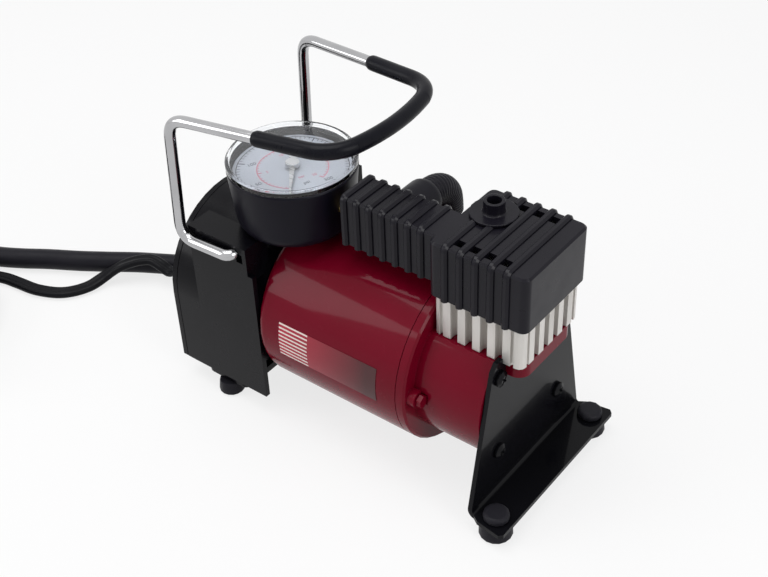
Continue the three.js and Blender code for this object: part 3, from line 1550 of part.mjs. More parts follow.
// The rocker: a shallow V seen from the side, hinged about Y behind its ridge.
function switchRocker() {
  const half = SWITCH_HEIGHT / 2 - 0.5;
  const width = SWITCH_WIDTH / 2 - REST;
  const shape = outline([
    [-0.8, 0],
    [-1.6, half],
    [2.2, half - 1.2],
    [5, 2.4],
    [5, -2.4],
    [2.2, -half + 1.2],
    [-1.6, -half],
  ]);
  return alongY(shape, -width, width);
}

add("rear_housing", rearHousing(), SATIN_BLACK);
add("rear_cover", rearCover(), SATIN_BLACK);
add(
  "rear_base",
  cut(
    alongZ(roundedRectangle(BASE_REAR, BASE_FRONT, -BASE_HALF, BASE_HALF, 3), BASE_BOTTOM, BASE_TOP, 3),
    ...rearFootHoles(BASE_BOTTOM - 1, BASE_TOP + 1),
  ),
  SATIN_BLACK,
);
add("switch_frame", switchFrame(), SATIN_BLACK);
const rockerGroup = new THREE.Group();
rockerGroup.position.set(HOUSING_REAR + 1, 0, SWITCH_Z);
rockerGroup.rotation.y = THREE.MathUtils.degToRad(ROCKER_SWING);
compressor.add(rockerGroup);
add("switch_rocker", switchRocker(), GLOSS_BLACK, rockerGroup);

// ---- Handle: a wire bow with a rubber sleeve ----
const HANDLE_Y = HOUSING_HALF + REST + WIRE_RADIUS;

// Stations along straight runs between corners, with a curve in place of each corner that has a set-back.
function stationsAlong(corners) {
  const at = corners.map(([x, y, z]) => new THREE.Vector3(x, y, z));
  const direction = (from, to) => to.clone().sub(from).normalize();
  const stations = [{ point: at[0], tangent: direction(at[0], at[1]) }];
  for (let i = 1; i < corners.length - 1; i++) {
    const setBack = corners[i][3];
    if (setBack === 0) {
      stations.push({ point: at[i], tangent: direction(at[i - 1], at[i + 1]) });
      continue;
    }
    const toward = (other) => other.clone().sub(at[i]).setLength(setBack).add(at[i]);
    const bend = new THREE.QuadraticBezierCurve3(toward(at[i - 1]), at[i], toward(at[i + 1]));
    for (let k = 0; k <= BEND_STEPS; k++) {
      const t = k / BEND_STEPS;
      stations.push({ point: bend.getPoint(t), tangent: bend.getTangent(t) });
    }
  }
  stations.push({ point: at.at(-1), tangent: direction(at.at(-2), at.at(-1)) });
  return stations;
}

// Half of the bow, from the wire's end in its ear to the front corner, each with its set-back.
const handleHalf = [
  [PIVOT_X, HOUSING_HALF - PIVOT_DEPTH, PIVOT_Z, 0],
  [PIVOT_X, HANDLE_Y, PIVOT_Z, PIVOT_BEND],
  [-67, HANDLE_Y, 77.2, SIDE_BEND],
  [-64.8, HANDLE_Y - 0.6, 130, SIDE_BEND],
  [-27.5, 32.4, 132.4, 0],
  [4.2, 28.2, 134.4, FRONT_BEND],
];
const bow = [11, 0, 134.5, BOW_BEND];
const mirrored = handleHalf.map(([x, y, z, setBack]) => [x, -y, z, setBack]);
const handleStations = stationsAlong([...mirrored, bow, ...handleHalf.reverse()]);
const gripFirst = 1 + 3 * (BEND_STEPS + 1);
const gripStations = handleStations.slice(gripFirst, handleStations.length - gripFirst);
const tube = (shape, stations) => sweep(shape, new Stations(stations), stations.length - 1, GRIP_SIDES / 2);

add("handle_wire", tube(disc(WIRE_RADIUS), handleStations), CHROME);
const gripBore = WIRE_RADIUS + REST / Math.cos(Math.PI / GRIP_SIDES);
add("handle_grip", tube(disc(GRIP_RADIUS, gripBore), gripStations), RUBBER);

// ---- Power cord, coil and plug ----
function flatSection() {
  const w = CORD_WIDTH / 2;
  const h = CORD_THICKNESS / 2;
  return outline([
    [-w, -h * 0.4],
    [-w + h * 0.7, -h],
    [w - h * 0.7, -h],
    [w, -h * 0.4],
    [w, h * 0.4],
    [w - h * 0.7, h],
    [-w + h * 0.7, h],
    [-w, h * 0.4],
  ]);
}

const GLAND_END = HOUSING_REAR - GLAND_LENGTH;
const CORD_Z = CORD_THICKNESS / 2 + 0.3;
const COIL_ENTRY_Y = COIL_Y + COIL_OUTER + REST + CORD_WIDTH / 2;
const cordRoute = [
  [GLAND_END - REST, GLAND_Y, GLAND_Z],
  [-110, 5, 21.3],
  [-115.5, 5, 18],
  [-120.5, 4.9, 12.8],
  [-124.5, 4.6, 8.8],
  [-128.2, 4.1, 7.4],
  [-131.8, 3.3, 9.4],
  [-136.7, 2.3, 11.2],
  [-140.8, -0.5, 11.2],
  [-147.4, -6.2, 8.9],
  [-153.8, -12, 3.8],
  [-156.4, -21, CORD_Z],
  [-162.3, -30.6, CORD_Z],
  [-173.5, -36.2, CORD_Z],
  [-184.9, -37.9, CORD_Z],
  [-192, -38.9, CORD_Z],
  [-199, -41, CORD_Z],
  [COIL_X - 1, COIL_ENTRY_Y, CORD_Z],
];

function cordGland() {
  const inside = HOUSING_REAR + REAR_COVER + REST;
  return turnedX(
    [
      [0, inside + 2],
      [GLAND_RADIUS, inside + 2],
      [GLAND_RADIUS, inside],
      [GLAND_HOLE, inside],
      [GLAND_HOLE, HOUSING_REAR - REST],
      [GLAND_RADIUS, HOUSING_REAR - REST],
      [GLAND_RADIUS, HOUSING_REAR - 3],
      [GLAND_TIP, GLAND_END],
      [0, GLAND_END],
    ],
    GLAND_Y,
    GLAND_Z,
    20,
  );
}

add("cord_gland", cordGland(), RUBBER);
add("power_cord", sweep(flatSection(), new LevelRoute(cordRoute), 36), RUBBER);

// The plug lies on the coil, along a chord of its near side. The cord's end rises to it from the turns.
const PLUG_Y = COIL_Y - 22;
const PLUG_Z = COIL_HEIGHT + REST + PLUG_RADIUS;
const PLUG_START = COIL_X - 15;
const COIL_INNER = COIL_OUTER - COIL_WIDTH;
const coilEnd = [
  [COIL_X - 30, COIL_Y + 21, COIL_HEIGHT - CORD_THICKNESS],
  [COIL_X - 35.5, COIL_Y + 14, COIL_HEIGHT],
  [COIL_X - 38, COIL_Y + 5, COIL_HEIGHT + 3.2],
  [COIL_X - 36.5, COIL_Y - 6, COIL_HEIGHT + 6.8],
  [COIL_X - 30, COIL_Y - 16, COIL_HEIGHT + 9.4],
  [COIL_X - 22.5, COIL_Y - 20.8, PLUG_Z - 0.3],
  [PLUG_START - 4, PLUG_Y, PLUG_Z],
  [PLUG_START - REST, PLUG_Y, PLUG_Z],
];
const coilRing = turnedZ(
  [
    [COIL_INNER, 0],
    [COIL_OUTER, 0],
    [COIL_OUTER, COIL_HEIGHT - 2],
    [COIL_OUTER - 2, COIL_HEIGHT],
    [COIL_INNER + 2, COIL_HEIGHT],
    [COIL_INNER, COIL_HEIGHT - 2],
  ],
  COIL_X,
  COIL_Y,
  32,
);
add("power_cord_coil", join(coilRing, sweep(flatSection(), new LevelRoute(coilEnd), 12)), RUBBER);

const GRIP_START = PLUG_START + PLUG_TAIL_LENGTH;
const GRIP_END = GRIP_START + PLUG_GRIP_LENGTH;
const NOSE_END = GRIP_END + PLUG_NOSE_LENGTH;
const CLIP_START = GRIP_END + 3;

function plugBody() {
  const well = PLUG_TIP_RADIUS + HOLE_PLAY;
  const body = turnedX(
    [
      [0, PLUG_START],
      [PLUG_TAIL_RADIUS, PLUG_START],
      [PLUG_TAIL_RADIUS + 1, GRIP_START - 2],
      [PLUG_RADIUS - 1, GRIP_START + 2],
      [PLUG_RADIUS, GRIP_START + 5],
      [PLUG_RADIUS, GRIP_END - 1],
      [PLUG_RADIUS - 1, GRIP_END],
      [PLUG_NOSE_RADIUS, GRIP_END],
      [PLUG_NOSE_RADIUS, NOSE_END - 4],
      [PLUG_NOSE_RADIUS - 2.5, NOSE_END],
      [0, NOSE_END],
    ],
    PLUG_Y,
    PLUG_Z,
    20,
  );
  const play = CLIP_WIDTH / 2 + REST;
  const slot = (z0, z1, x0, x1) => box(x0, x1, PLUG_Y - play, PLUG_Y + play, PLUG_Z + z0, PLUG_Z + z1);
  return cut(
    body,
    rodX(well, NOSE_END - PLUG_TIP_DEPTH, NOSE_END + 1, PLUG_Y, PLUG_Z, 20),
    slot(
      -PLUG_NOSE_RADIUS - 1,
      PLUG_NOSE_RADIUS + 1,
      CLIP_START - REST,
      CLIP_START + CLIP_THICKNESS + REST,
    ),
    slot(PLUG_NOSE_RADIUS - 3, PLUG_NOSE_RADIUS + 1, CLIP_START - REST, CLIP_START + CLIP_LENGTH + REST),
    slot(-PLUG_NOSE_RADIUS - 1, 3 - PLUG_NOSE_RADIUS, CLIP_START - REST, CLIP_START + CLIP_LENGTH + REST),
  );
}

// The earth contact: one sprung strip that crosses the nose and shows on its upper and lower sides.
function plugClip() {
  const half = CLIP_WIDTH / 2;
  const strip = (points) => {
    const shape = outline(points.map(([x, z]) => [CLIP_START + x, PLUG_Z + z]));
    return alongY(shape, PLUG_Y - half, PLUG_Y + half);
  };
  const root = PLUG_NOSE_RADIUS - 3 + REST;
  const crest = PLUG_NOSE_RADIUS + CLIP_PROUD - CLIP_THICKNESS;
  const arm = (up) =>
    strip([
      [0, up * root],
      [0, up * (root + CLIP_THICKNESS)],
      [CLIP_LENGTH * 0.4, up * (crest + CLIP_THICKNESS)],
      [CLIP_LENGTH * 0.6, up * (crest + CLIP_THICKNESS)],
      [CLIP_LENGTH, up * (root + CLIP_THICKNESS)],
      [CLIP_LENGTH, up * root],
      [CLIP_LENGTH * 0.6, up * crest],
      [CLIP_LENGTH * 0.4, up * crest],
    ]);
  const bridge = strip([
    [0, -root - CLIP_THICKNESS],
    [CLIP_THICKNESS, -root - CLIP_THICKNESS],
    [CLIP_THICKNESS, root + CLIP_THICKNESS],
    [0, root + CLIP_THICKNESS],
  ]);
  return join(bridge, arm(1), arm(-1));
}

function plugTip() {
  const back = NOSE_END - PLUG_TIP_DEPTH + REST + PLUG_TIP_TRAVEL;
  const end = NOSE_END + PLUG_TIP_TRAVEL + 1;
  return turnedX(
    [
      [0, back],
      [PLUG_TIP_RADIUS, back],
      [PLUG_TIP_RADIUS, end - 1.5],
      [PLUG_TIP_RADIUS - 1.2, end],
      [0, end],
    ],
    PLUG_Y,
    PLUG_Z,
    16,
  );
}

add("plug_body", plugBody(), SATIN_BLACK);
add("plug_clip", plugClip(), STEEL);
add("plug_tip", plugTip(), STEEL);

// ---- Air hose and its screwless valve connector ----
const HOSE_Z = HOSE_RADIUS + 0.1;
const CONNECTOR_Z = CONNECTOR_RADIUS + 0.1;
const hoseEnd = [-261.5, -90, CONNECTOR_Z];
const hoseRoute = [
  [10.9, 28.2, 83.1],
  [10.8, 28.5, 81.2],
  [10.2, 29.9, 77.4],
  [8.4, 33, 71.4],
  [4.8, 37.2, 64.8],
  [-0.4, 40.8, 57.6],
  [-7.4, 43, 49.6],
  [-16.4, 43.9, 41],
  [-28, 44, 31],
  [-41, 43.8, 21.5],
  [-55, 43.2, 14],
  [-69, 41.8, 8.9],
  [-86, 37, 5.8],
  [-103, 28.4, HOSE_Z],
  [-119, 19.2, HOSE_Z],
  [-134, 10.4, HOSE_Z],
  [-147, 3.1, HOSE_Z],
  [-159, -4.7, HOSE_Z],
  [-171, -12.3, HOSE_Z],
  [-184, -19.7, HOSE_Z],
  [-196, -27.2, HOSE_Z],
  [-206, -32.4, HOSE_Z],
  [-217, -35.9, HOSE_Z],
  [-230, -40, HOSE_Z],
  [-243, -48.5, HOSE_Z],
  [-253, -60, HOSE_Z],
  [-259, -73, 5.6],
  [-261.3, -81, 7.6],
  [-261.5, -86, CONNECTOR_Z],
  hoseEnd,
];
add("air_hose", sweep(disc(HOSE_RADIUS), smooth(hoseRoute), 38, 4), RUBBER);

// Built along +X from the hose's end, with the lever on top; its pin crosses along Y.
const LEVER_PIN_X = 17;
const LEVER_PIN_Z = CONNECTOR_RADIUS + LEVER_PIN_RADIUS + 1.2;

function hoseConnector() {
  const start = REST;
  const body = turnedX(
    [
      [0, start],
      [HOSE_RADIUS + 1, start],
      [HOSE_RADIUS + 1, start + 7],
      [CONNECTOR_RADIUS, start + 10],
      [CONNECTOR_RADIUS, start + CONNECTOR_LENGTH - 1],
      [CONNECTOR_RADIUS - 1, start + CONNECTOR_LENGTH],
      [CONNECTOR_BORE, start + CONNECTOR_LENGTH],
      [CONNECTOR_BORE, start + CONNECTOR_LENGTH - 11],
      [0, start + CONNECTOR_LENGTH - 11],
    ],
    0,
    0,
    18,
  );
  const cheek = (y0, y1) =>
    alongY(
      outline([
        [LEVER_PIN_X - 4, CONNECTOR_RADIUS - 3],
        [LEVER_PIN_X + 4, CONNECTOR_RADIUS - 3],
        [LEVER_PIN_X + 3, LEVER_PIN_Z + 2],
        [LEVER_PIN_X - 3, LEVER_PIN_Z + 2],
      ]),
      y0,
      y1,
    );
  const half = LEVER_WIDTH / 2 + REST;
  const cheekWall = 1.6;
  return cut(
    join(body, cheek(half, half + cheekWall), cheek(-half - cheekWall, -half)),
    rodY(
      LEVER_PIN_RADIUS + HOLE_PLAY,
      -half - cheekWall - 1,
      half + cheekWall + 1,
      LEVER_PIN_X,
      LEVER_PIN_Z,
      12,
    ),
  );
}

// Modelled with its pin at the origin, reaching back over the hose.
function connectorLever() {
  const half = LEVER_WIDTH / 2;
  const blade = alongY(
    outline([
      [2, -LEVER_THICKNESS / 2],
      [2, LEVER_THICKNESS / 2],
      [-LEVER_LENGTH + 4, LEVER_THICKNESS],
      [-LEVER_LENGTH, LEVER_THICKNESS * 1.6],
      [-LEVER_LENGTH, LEVER_THICKNESS * 0.6],
      [-LEVER_LENGTH + 4, 0],
    ]),
    -half,
    half,
  );
  const reach = half + REST + 1.2;
  const pin = rodY(LEVER_PIN_RADIUS, -reach, reach, 0, 0, 12);
  return join(blade, pin);
}

const connector = new THREE.Group();
connector.position.set(...hoseEnd);
connector.rotation.z = THREE.MathUtils.degToRad(CONNECTOR_HEADING);
compressor.add(connector);
add("hose_connector", hoseConnector(), SATIN_BLACK, connector);
const lever = new THREE.Group();
lever.position.set(LEVER_PIN_X, 0, LEVER_PIN_Z);
lever.rotation.y = THREE.MathUtils.degToRad(LEVER_LIFT);
connector.add(lever);
add("connector_lever", connectorLever(), RED, lever);

export default compressor;
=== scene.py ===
"""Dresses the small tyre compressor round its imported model.

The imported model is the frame: its nodes are named by part, and each dressed piece rides on the same body
as the node that it stands for. The assemblies' sizes are in millimetres, and MM turns them into metres.
The studio and the finishes are in metres. +Z is up and +X points to the front stand.
"""
from __future__ import annotations

import json
import logging
import math
from dataclasses import dataclass, field
from enum import Enum
from functools import partial
from itertools import accumulate
from typing import Callable, Iterable, Sequence

import bpy
from mathutils import Matrix, Vector

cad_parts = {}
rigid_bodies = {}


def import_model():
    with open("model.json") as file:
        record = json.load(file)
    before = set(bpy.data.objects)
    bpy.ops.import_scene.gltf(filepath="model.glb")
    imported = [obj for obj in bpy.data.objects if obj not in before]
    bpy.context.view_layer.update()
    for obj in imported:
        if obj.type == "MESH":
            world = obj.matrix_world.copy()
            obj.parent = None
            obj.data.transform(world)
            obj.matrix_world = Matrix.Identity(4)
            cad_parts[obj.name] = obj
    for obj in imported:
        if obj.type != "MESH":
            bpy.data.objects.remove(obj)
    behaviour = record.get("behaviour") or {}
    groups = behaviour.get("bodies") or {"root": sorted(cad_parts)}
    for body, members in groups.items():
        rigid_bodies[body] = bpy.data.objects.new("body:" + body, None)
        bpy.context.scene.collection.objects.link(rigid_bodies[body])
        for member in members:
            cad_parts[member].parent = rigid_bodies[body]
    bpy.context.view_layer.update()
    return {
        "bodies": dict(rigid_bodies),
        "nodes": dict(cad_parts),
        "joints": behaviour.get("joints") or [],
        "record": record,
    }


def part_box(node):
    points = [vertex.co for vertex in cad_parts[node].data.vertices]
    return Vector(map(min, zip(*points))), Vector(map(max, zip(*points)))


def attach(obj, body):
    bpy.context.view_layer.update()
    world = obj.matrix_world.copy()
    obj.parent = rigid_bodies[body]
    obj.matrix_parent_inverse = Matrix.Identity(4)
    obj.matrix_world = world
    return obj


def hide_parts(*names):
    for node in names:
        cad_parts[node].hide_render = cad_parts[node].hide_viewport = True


LOG = logging.getLogger("compressor")
MM = 0.001
WHITE = (1, 1, 1, 1)
UP = Vector((0, 0, 1))
POLE = 0.01  # a turned piece comes this near its axis, in millimetres, and is then closed
CURVE_STEPS = 24  # the samples of a curve between two of its points
DOUBLES = 0.000001  # points nearer than this are merged, in metres
SHARP, SWEPT_SHARP = 38, 50  # edges that turn by more degrees stay sharp: on a moulding, and along a path
CORE_ARC = range(-130, 131, 20)  # the degrees round a cord's core, from groove to groove
SIDES = ("left", "right")
Point = tuple[float, float, float]
Outline = Sequence[tuple[float, float]]
Piece = bpy.types.Object
Socket = bpy.types.NodeSocket


# ---- finishes


class Graph:
    """The shader nodes of a material or of the world."""

    def __init__(self, owner: bpy.types.Material | bpy.types.World, shader: str = "Principled BSDF") -> None:
        """Takes hold of the owner's nodes.

        Args:
            owner: the material or the world.
            shader: the node that gives it its look.
        """
        owner.use_nodes = True
        self.tree = owner.node_tree
        self.shader = self.tree.nodes[shader]
        self.place = self.node("TexCoord").outputs

    def feed(self, node: bpy.types.Node, *values: object, **named: object) -> bpy.types.Node:
        """Gives a node's inputs a number, a colour or a socket each.

        Args:
            node: the node.
            values: what its first inputs get, in order.
            named: what others get, with underscores for the spaces in their names.

        Returns:
            The node.
        """
        targets = [*node.inputs[: len(values)], *(node.inputs[name.replace("_", " ")] for name in named)]
        for target, value in zip(targets, (*values, *named.values())):
            if isinstance(value, Socket):
                self.tree.links.new(value, target)
            else:
                target.default_value = value
        return node

    def node(self, kind: str, *values: object, **named: object) -> bpy.types.Node:
        """Adds a node, whose kind is given without its leading ShaderNode, and feeds it."""
        return self.feed(self.tree.nodes.new(f"ShaderNode{kind}"), *values, **named)

    def set(self, **named: object) -> None:
        """Feeds the shader's own inputs."""
        self.feed(self.shader, **named)

    def maths(self, operation: str, *values: object) -> Socket:
        """One sum.

        Args:
            operation: what the Math node does.
            values: its numbers or sockets.

        Returns:
            The result.
        """
        node = self.node("Math", *values)
        node.operation = operation
        return node.outputs["Value"]

    def mixed(self, share: Socket, low: object, high: object) -> Socket:
        """A mix of two colours.

        Args:
            share: how much of the second there is.
            low: the first colour.
            high: the second.

        Returns:
            The mix.
        """
        mix = self.node("Mix")
        mix.data_type = "RGBA"
        self.feed(mix, Factor=share, A=low, B=high)
        return mix.outputs["Result"]

    def noise(self, per_metre: float, detail: float, stretch: Point = (1, 1, 1)) -> Socket:
        """A noise pattern on the piece's own Object coordinates.

        Args:
            per_metre: how many of its waves go in a metre.
            detail: its octaves.
            stretch: the factor along X, Y and Z.

        Returns:
            Its strength, from 0 to 1.
        """
        mapping = self.node("Mapping", Vector=self.place["Object"], Scale=stretch)
        noise = self.node("TexNoise", Vector=mapping.outputs["Vector"], Scale=per_metre, Detail=detail)
        return noise.outputs["Fac"]

    def between(self, fac: Socket, low: Point, high: Point, span: tuple[float, float]) -> Socket:
        """A colour between two as a pattern rises over a span.

        Args:
            fac: the pattern.
            low: the colour below the span.
            high: the colour above it.
            span: the pattern's values at which each is reached.

        Returns:
            The colour.
        """
        ramp = self.node("ValToRGB", Fac=fac)
        for stop, position, colour in zip(ramp.color_ramp.elements, span, (low, high)):
            stop.position = position
            stop.color = (*colour, 1)
        return ramp.outputs["Color"]

    def grey(self, fac: Socket, low: float, high: float) -> Socket:
        """A number between two values as a pattern rises over its middle."""
        return self.between(fac, (low,) * 3, (high,) * 3, (0.3, 0.7))

    def bump(self, height: Socket, distance: float, strength: float) -> None:
        """Adds relief over what is there.

        Args:
            height: the pattern that gives its height.
            distance: how high it stands at most.
            strength: how much of it shows.
        """
        bump = self.node("Bump", Height=height, Distance=distance, Strength=strength)
        for link in self.shader.inputs["Normal"].links:
            self.feed(bump, Normal=link.from_socket)
        self.set(Normal=bump.outputs["Normal"])


@dataclass(frozen=True)
class Finish:
    """What all the finishes have: a name and the record's slot."""

    name: str
    slot: str

    def wire(self, g: Graph) -> None:
        """Wires the material's nodes."""
        raise NotImplementedError

    def material(self) -> bpy.types.Material:
        """Makes the material, once.

        Returns:
            The material.
        """
        material = bpy.data.materials.get(self.name)
        if material is None:
            material = bpy.data.materials.new(self.name)
            self.wire(Graph(material))
        return material


@dataclass(frozen=True)
class Paint(Finish):
    """Sprayed gloss paint, with a trace of orange peel and dust."""

    colour: Point
    deep: Point
    roughness: float
    coat: float = 0.18
    specular: float = 0.03

    def wire(self, g: Graph) -> None:
        """Wires the pooled colour, the dust and the orange peel.

        Args:
            g: the material's nodes.
        """
        g.set(Coat_Weight=self.coat, Coat_Roughness=0.06, Specular_IOR_Level=self.specular)
        g.set(Base_Color=g.between(g.noise(34, 4), self.deep, self.colour, (0.35, 0.65)))
        g.set(Roughness=g.grey(g.noise(260, 5), self.roughness, self.roughness + 0.06))
        g.bump(g.noise(300, 1), 0.00001, 0.3)


@dataclass(frozen=True)
class Moulding(Finish):
    """A plastic moulding with a fine grain."""

    colour: Point
    roughness: float
    grain_scale: float = 3000
    grain: float = 0.00001
    coat: float = 0.0

    def wire(self, g: Graph) -> None:
        """Wires the mottle, the grain and the slight waviness.

        Args:
            g: the material's nodes.
        """
        g.set(Specular_IOR_Level=0.1, Coat_Weight=self.coat, Coat_Roughness=0.08)
        light = tuple(min(1.0, c * 1.12 + 0.001) for c in self.colour)
        g.set(Base_Color=g.between(g.noise(60, 5), self.colour, light, (0.35, 0.7)))
        g.set(Roughness=g.grey(g.noise(120, 6), self.roughness - 0.05, self.roughness + 0.08))
        g.bump(g.noise(self.grain_scale, 2), self.grain, 0.6)
        g.bump(g.noise(90, 2), 0.00003, 0.3)


@dataclass(frozen=True)
class Elastomer(Finish):
    """Rubber or soft vinyl, with a faint bloom."""

    colour: Point
    roughness: float
    bloom: float = 0.003

    def wire(self, g: Graph) -> None:
        """Wires the bloom and the matt skin.

        Args:
            g: the material's nodes.
        """
        g.set(Specular_IOR_Level=0.1, Sheen_Weight=0.01, Sheen_Roughness=0.5)
        pale = tuple(c + self.bloom for c in self.colour)
        g.set(Base_Color=g.between(g.noise(90, 6), self.colour, pale, (0.4, 0.8)))
        g.set(Roughness=g.grey(g.noise(210, 4), self.roughness - 0.08, self.roughness + 0.1))
        g.bump(g.noise(1900, 3), 0.00004, 0.5)


class MetalWork(Enum):
    """How a metal surface was left: the stretch of its marks and their depth."""

    PLATED = ((1, 1, 1), 0.000004)
    TURNED = ((1, 1, 14), 0.00001)
    DRAWN = ((0.05, 1, 1), 0.00001)
    CAST = ((1, 1, 1), 0.00007)
    SAWN = ((1, 1, 0.12), 0.00004)


@dataclass(frozen=True)
class Metal(Finish):
    """Bare or plated metal."""

    colour: Point
    dull: Point
    roughness: float
    work: MetalWork
    per_metre: float
    metallic: float = 1.0

    def wire(self, g: Graph) -> None:
        """Wires the mottle and the marks of the work.

        Args:
            g: the material's nodes.
        """
        g.set(Metallic=self.metallic)
        stretch, depth = self.work.value
        mottle = g.noise(self.per_metre * 0.2, 5, stretch)
        g.set(Base_Color=g.between(mottle, self.dull, self.colour, (0.3, 0.62)))
        marks = g.noise(self.per_metre, 4, stretch)
        g.set(Roughness=g.grey(marks, self.roughness * 0.75, self.roughness * 1.25))
        g.bump(marks, depth, 0.6)


@dataclass(frozen=True)
class ClearMoulding(Finish):
    """A clear moulded lens."""

    tint: Point = (0.97, 0.985, 1.0)
    roughness: float = 0.02

    def wire(self, g: Graph) -> None:
        """Wires the clear body and its slight waviness.

        Args:
            g: the material's nodes.
        """
        g.set(Base_Color=(*self.tint, 1), Transmission_Weight=1.0, IOR=1.15)
        g.set(Coat_Weight=0.6, Coat_Roughness=0.03)
        g.set(Roughness=g.grey(g.noise(140, 4), self.roughness, self.roughness + 0.05))
        g.bump(g.noise(45, 2), 0.00006, 0.25)


@dataclass(frozen=True)
class PrintedLabel(Finish):
    """A clear label on red paint: pale stripes at the rear end and a smoky fade to the front."""

    along: tuple[float, float]
    up: tuple[float, float]
    red: Point = (0.42, 0.03, 0.055)
    smoke: Point = (0.075, 0.028, 0.03)
    pale: tuple[float, ...] = (0.75, 0.66, 0.62, 1)
    stripes: float = 8.5
    striped_share: float = 0.3

    def wire(self, g: Graph) -> None:
        """Wires the fade and the stripes over it.

        Args:
            g: the material's nodes.
        """
        g.set(Coat_Weight=0.2, Coat_Roughness=0.05, Roughness=0.25, Specular_IOR_Level=0.1)
        split = g.node("SeparateXYZ", Vector=g.place["Object"]).outputs
        along, up = (
            g.node("MapRange", Value=split[axis], From_Min=ends[0], From_Max=ends[1]).outputs["Result"]
            for axis, ends in (("X", self.along), ("Z", self.up))
        )
        fade = g.between(along, self.red, self.smoke, (0.05, 0.9))
        wave = g.maths("SINE", g.maths("MULTIPLY", up, 2 * math.pi * self.stripes))
        stripe = g.maths("GREATER_THAN", wave, 0.35)
        near = g.maths("LESS_THAN", along, self.striped_share)
        g.set(Base_Color=g.mixed(g.maths("MULTIPLY", stripe, near), fade, self.pale))


RED, DEEP_RED = (0.15, 0.0012, 0.0125), (0.136, 0.001, 0.0105)
BLACK, DEEP_BLACK = (0.0045, 0.0045, 0.006), (0.004, 0.004, 0.0052)
RED_PAINT = Paint("red_gloss_paint", "red_paint", RED, DEEP_RED, 0.22)
LEVER_RED = Paint("red_lever_paint", "lever_red", RED, DEEP_RED, 0.3)
BLACK_PAINT = Paint("black_gloss_paint", "gloss_black", BLACK, DEEP_BLACK, 0.2)
COVER_PLASTIC = Moulding(
    "black_cover_plastic", "black_plastic", (0.0062, 0.0055, 0.0092), 0.3, coat=0.12
)
HOUSING_PLASTIC = Moulding(
    "black_housing_plastic", "black_plastic", (0.0024, 0.0022, 0.0036), 0.22, coat=0.03
)
GAUGE_PLASTIC = Moulding("black_gauge_plastic", "black_plastic", (0.0042, 0.0036, 0.0078), 0.34, 2800)
ROCKER_PLASTIC = Moulding("black_rocker_plastic", "rocker_black", (0.008, 0.008, 0.01), 0.22, 3200)
FERRITE = Moulding("grey_ferrite", "ferrite", (0.035, 0.035, 0.037), 0.6, 2000, 0.00004)
PHENOLIC = Moulding("brown_phenolic", "phenolic", (0.18, 0.075, 0.03), 0.45, 1500, 0.00002)
CARBON = Moulding("pressed_carbon", "carbon", (0.02, 0.02, 0.021), 0.55, 2500, 0.00004)
PTFE = Moulding("white_ptfe", "ptfe", (0.75, 0.74, 0.7), 0.4, 1500)
DIAL_WHITE = Moulding("white_dial_print", "dial_white", (0.345, 0.363, 0.405), 0.42, 1800)
DIAL_BLACK = Moulding("black_dial_print", "black_plastic", (0.06, 0.06, 0.07), 0.5, 1800)
DIAL_RED = Moulding("red_dial_print", "lever_red", (0.45, 0.13, 0.17), 0.5, 1800)
TIE = Moulding("black_tie", "black_plastic", (0.015, 0.015, 0.016), 0.35, 2000, 0.00002)
FOOT_RUBBER = Elastomer("black_foot_rubber", "rubber", (0.0125, 0.012, 0.016), 0.45)
GRIP_RUBBER = Elastomer("black_grip_rubber", "rubber", (0.003, 0.0031, 0.006), 0.3)
SHEATH = Elastomer("black_cord_sheath", "cord_rubber", (0.003, 0.003, 0.0045), 0.38)
HOSE_RUBBER = Elastomer("black_hose_rubber", "cord_rubber", (0.0115, 0.011, 0.015), 0.4, 0.004)
CHROME = Metal("bright_chrome", "chrome", (0.46, 0.46, 0.47), (0.4, 0.4, 0.41), 0.1, MetalWork.PLATED, 300)
STEEL = Metal("plain_steel", "steel", (0.6, 0.6, 0.6), (0.45, 0.45, 0.46), 0.32, MetalWork.DRAWN, 900)
CAST_ALUMINIUM = Metal(
    "cast_aluminium", "aluminium", (0.66, 0.64, 0.61), (0.54, 0.52, 0.49), 0.42, MetalWork.SAWN, 900, 0.45
)
BRASS = Metal("machined_brass", "brass", (0.75, 0.56, 0.24), (0.6, 0.43, 0.17), 0.3, MetalWork.TURNED, 600)
COPPER = Metal(
    "enamelled_copper", "copper", (0.62, 0.26, 0.12), (0.45, 0.17, 0.08), 0.3, MetalWork.DRAWN, 1500
)
BRONZE = Metal("sintered_bronze", "bronze", (0.5, 0.36, 0.18), (0.36, 0.25, 0.12), 0.5, MetalWork.CAST, 2500)
LENS = ClearMoulding("clear_lens", "lens")


# ---- the bench


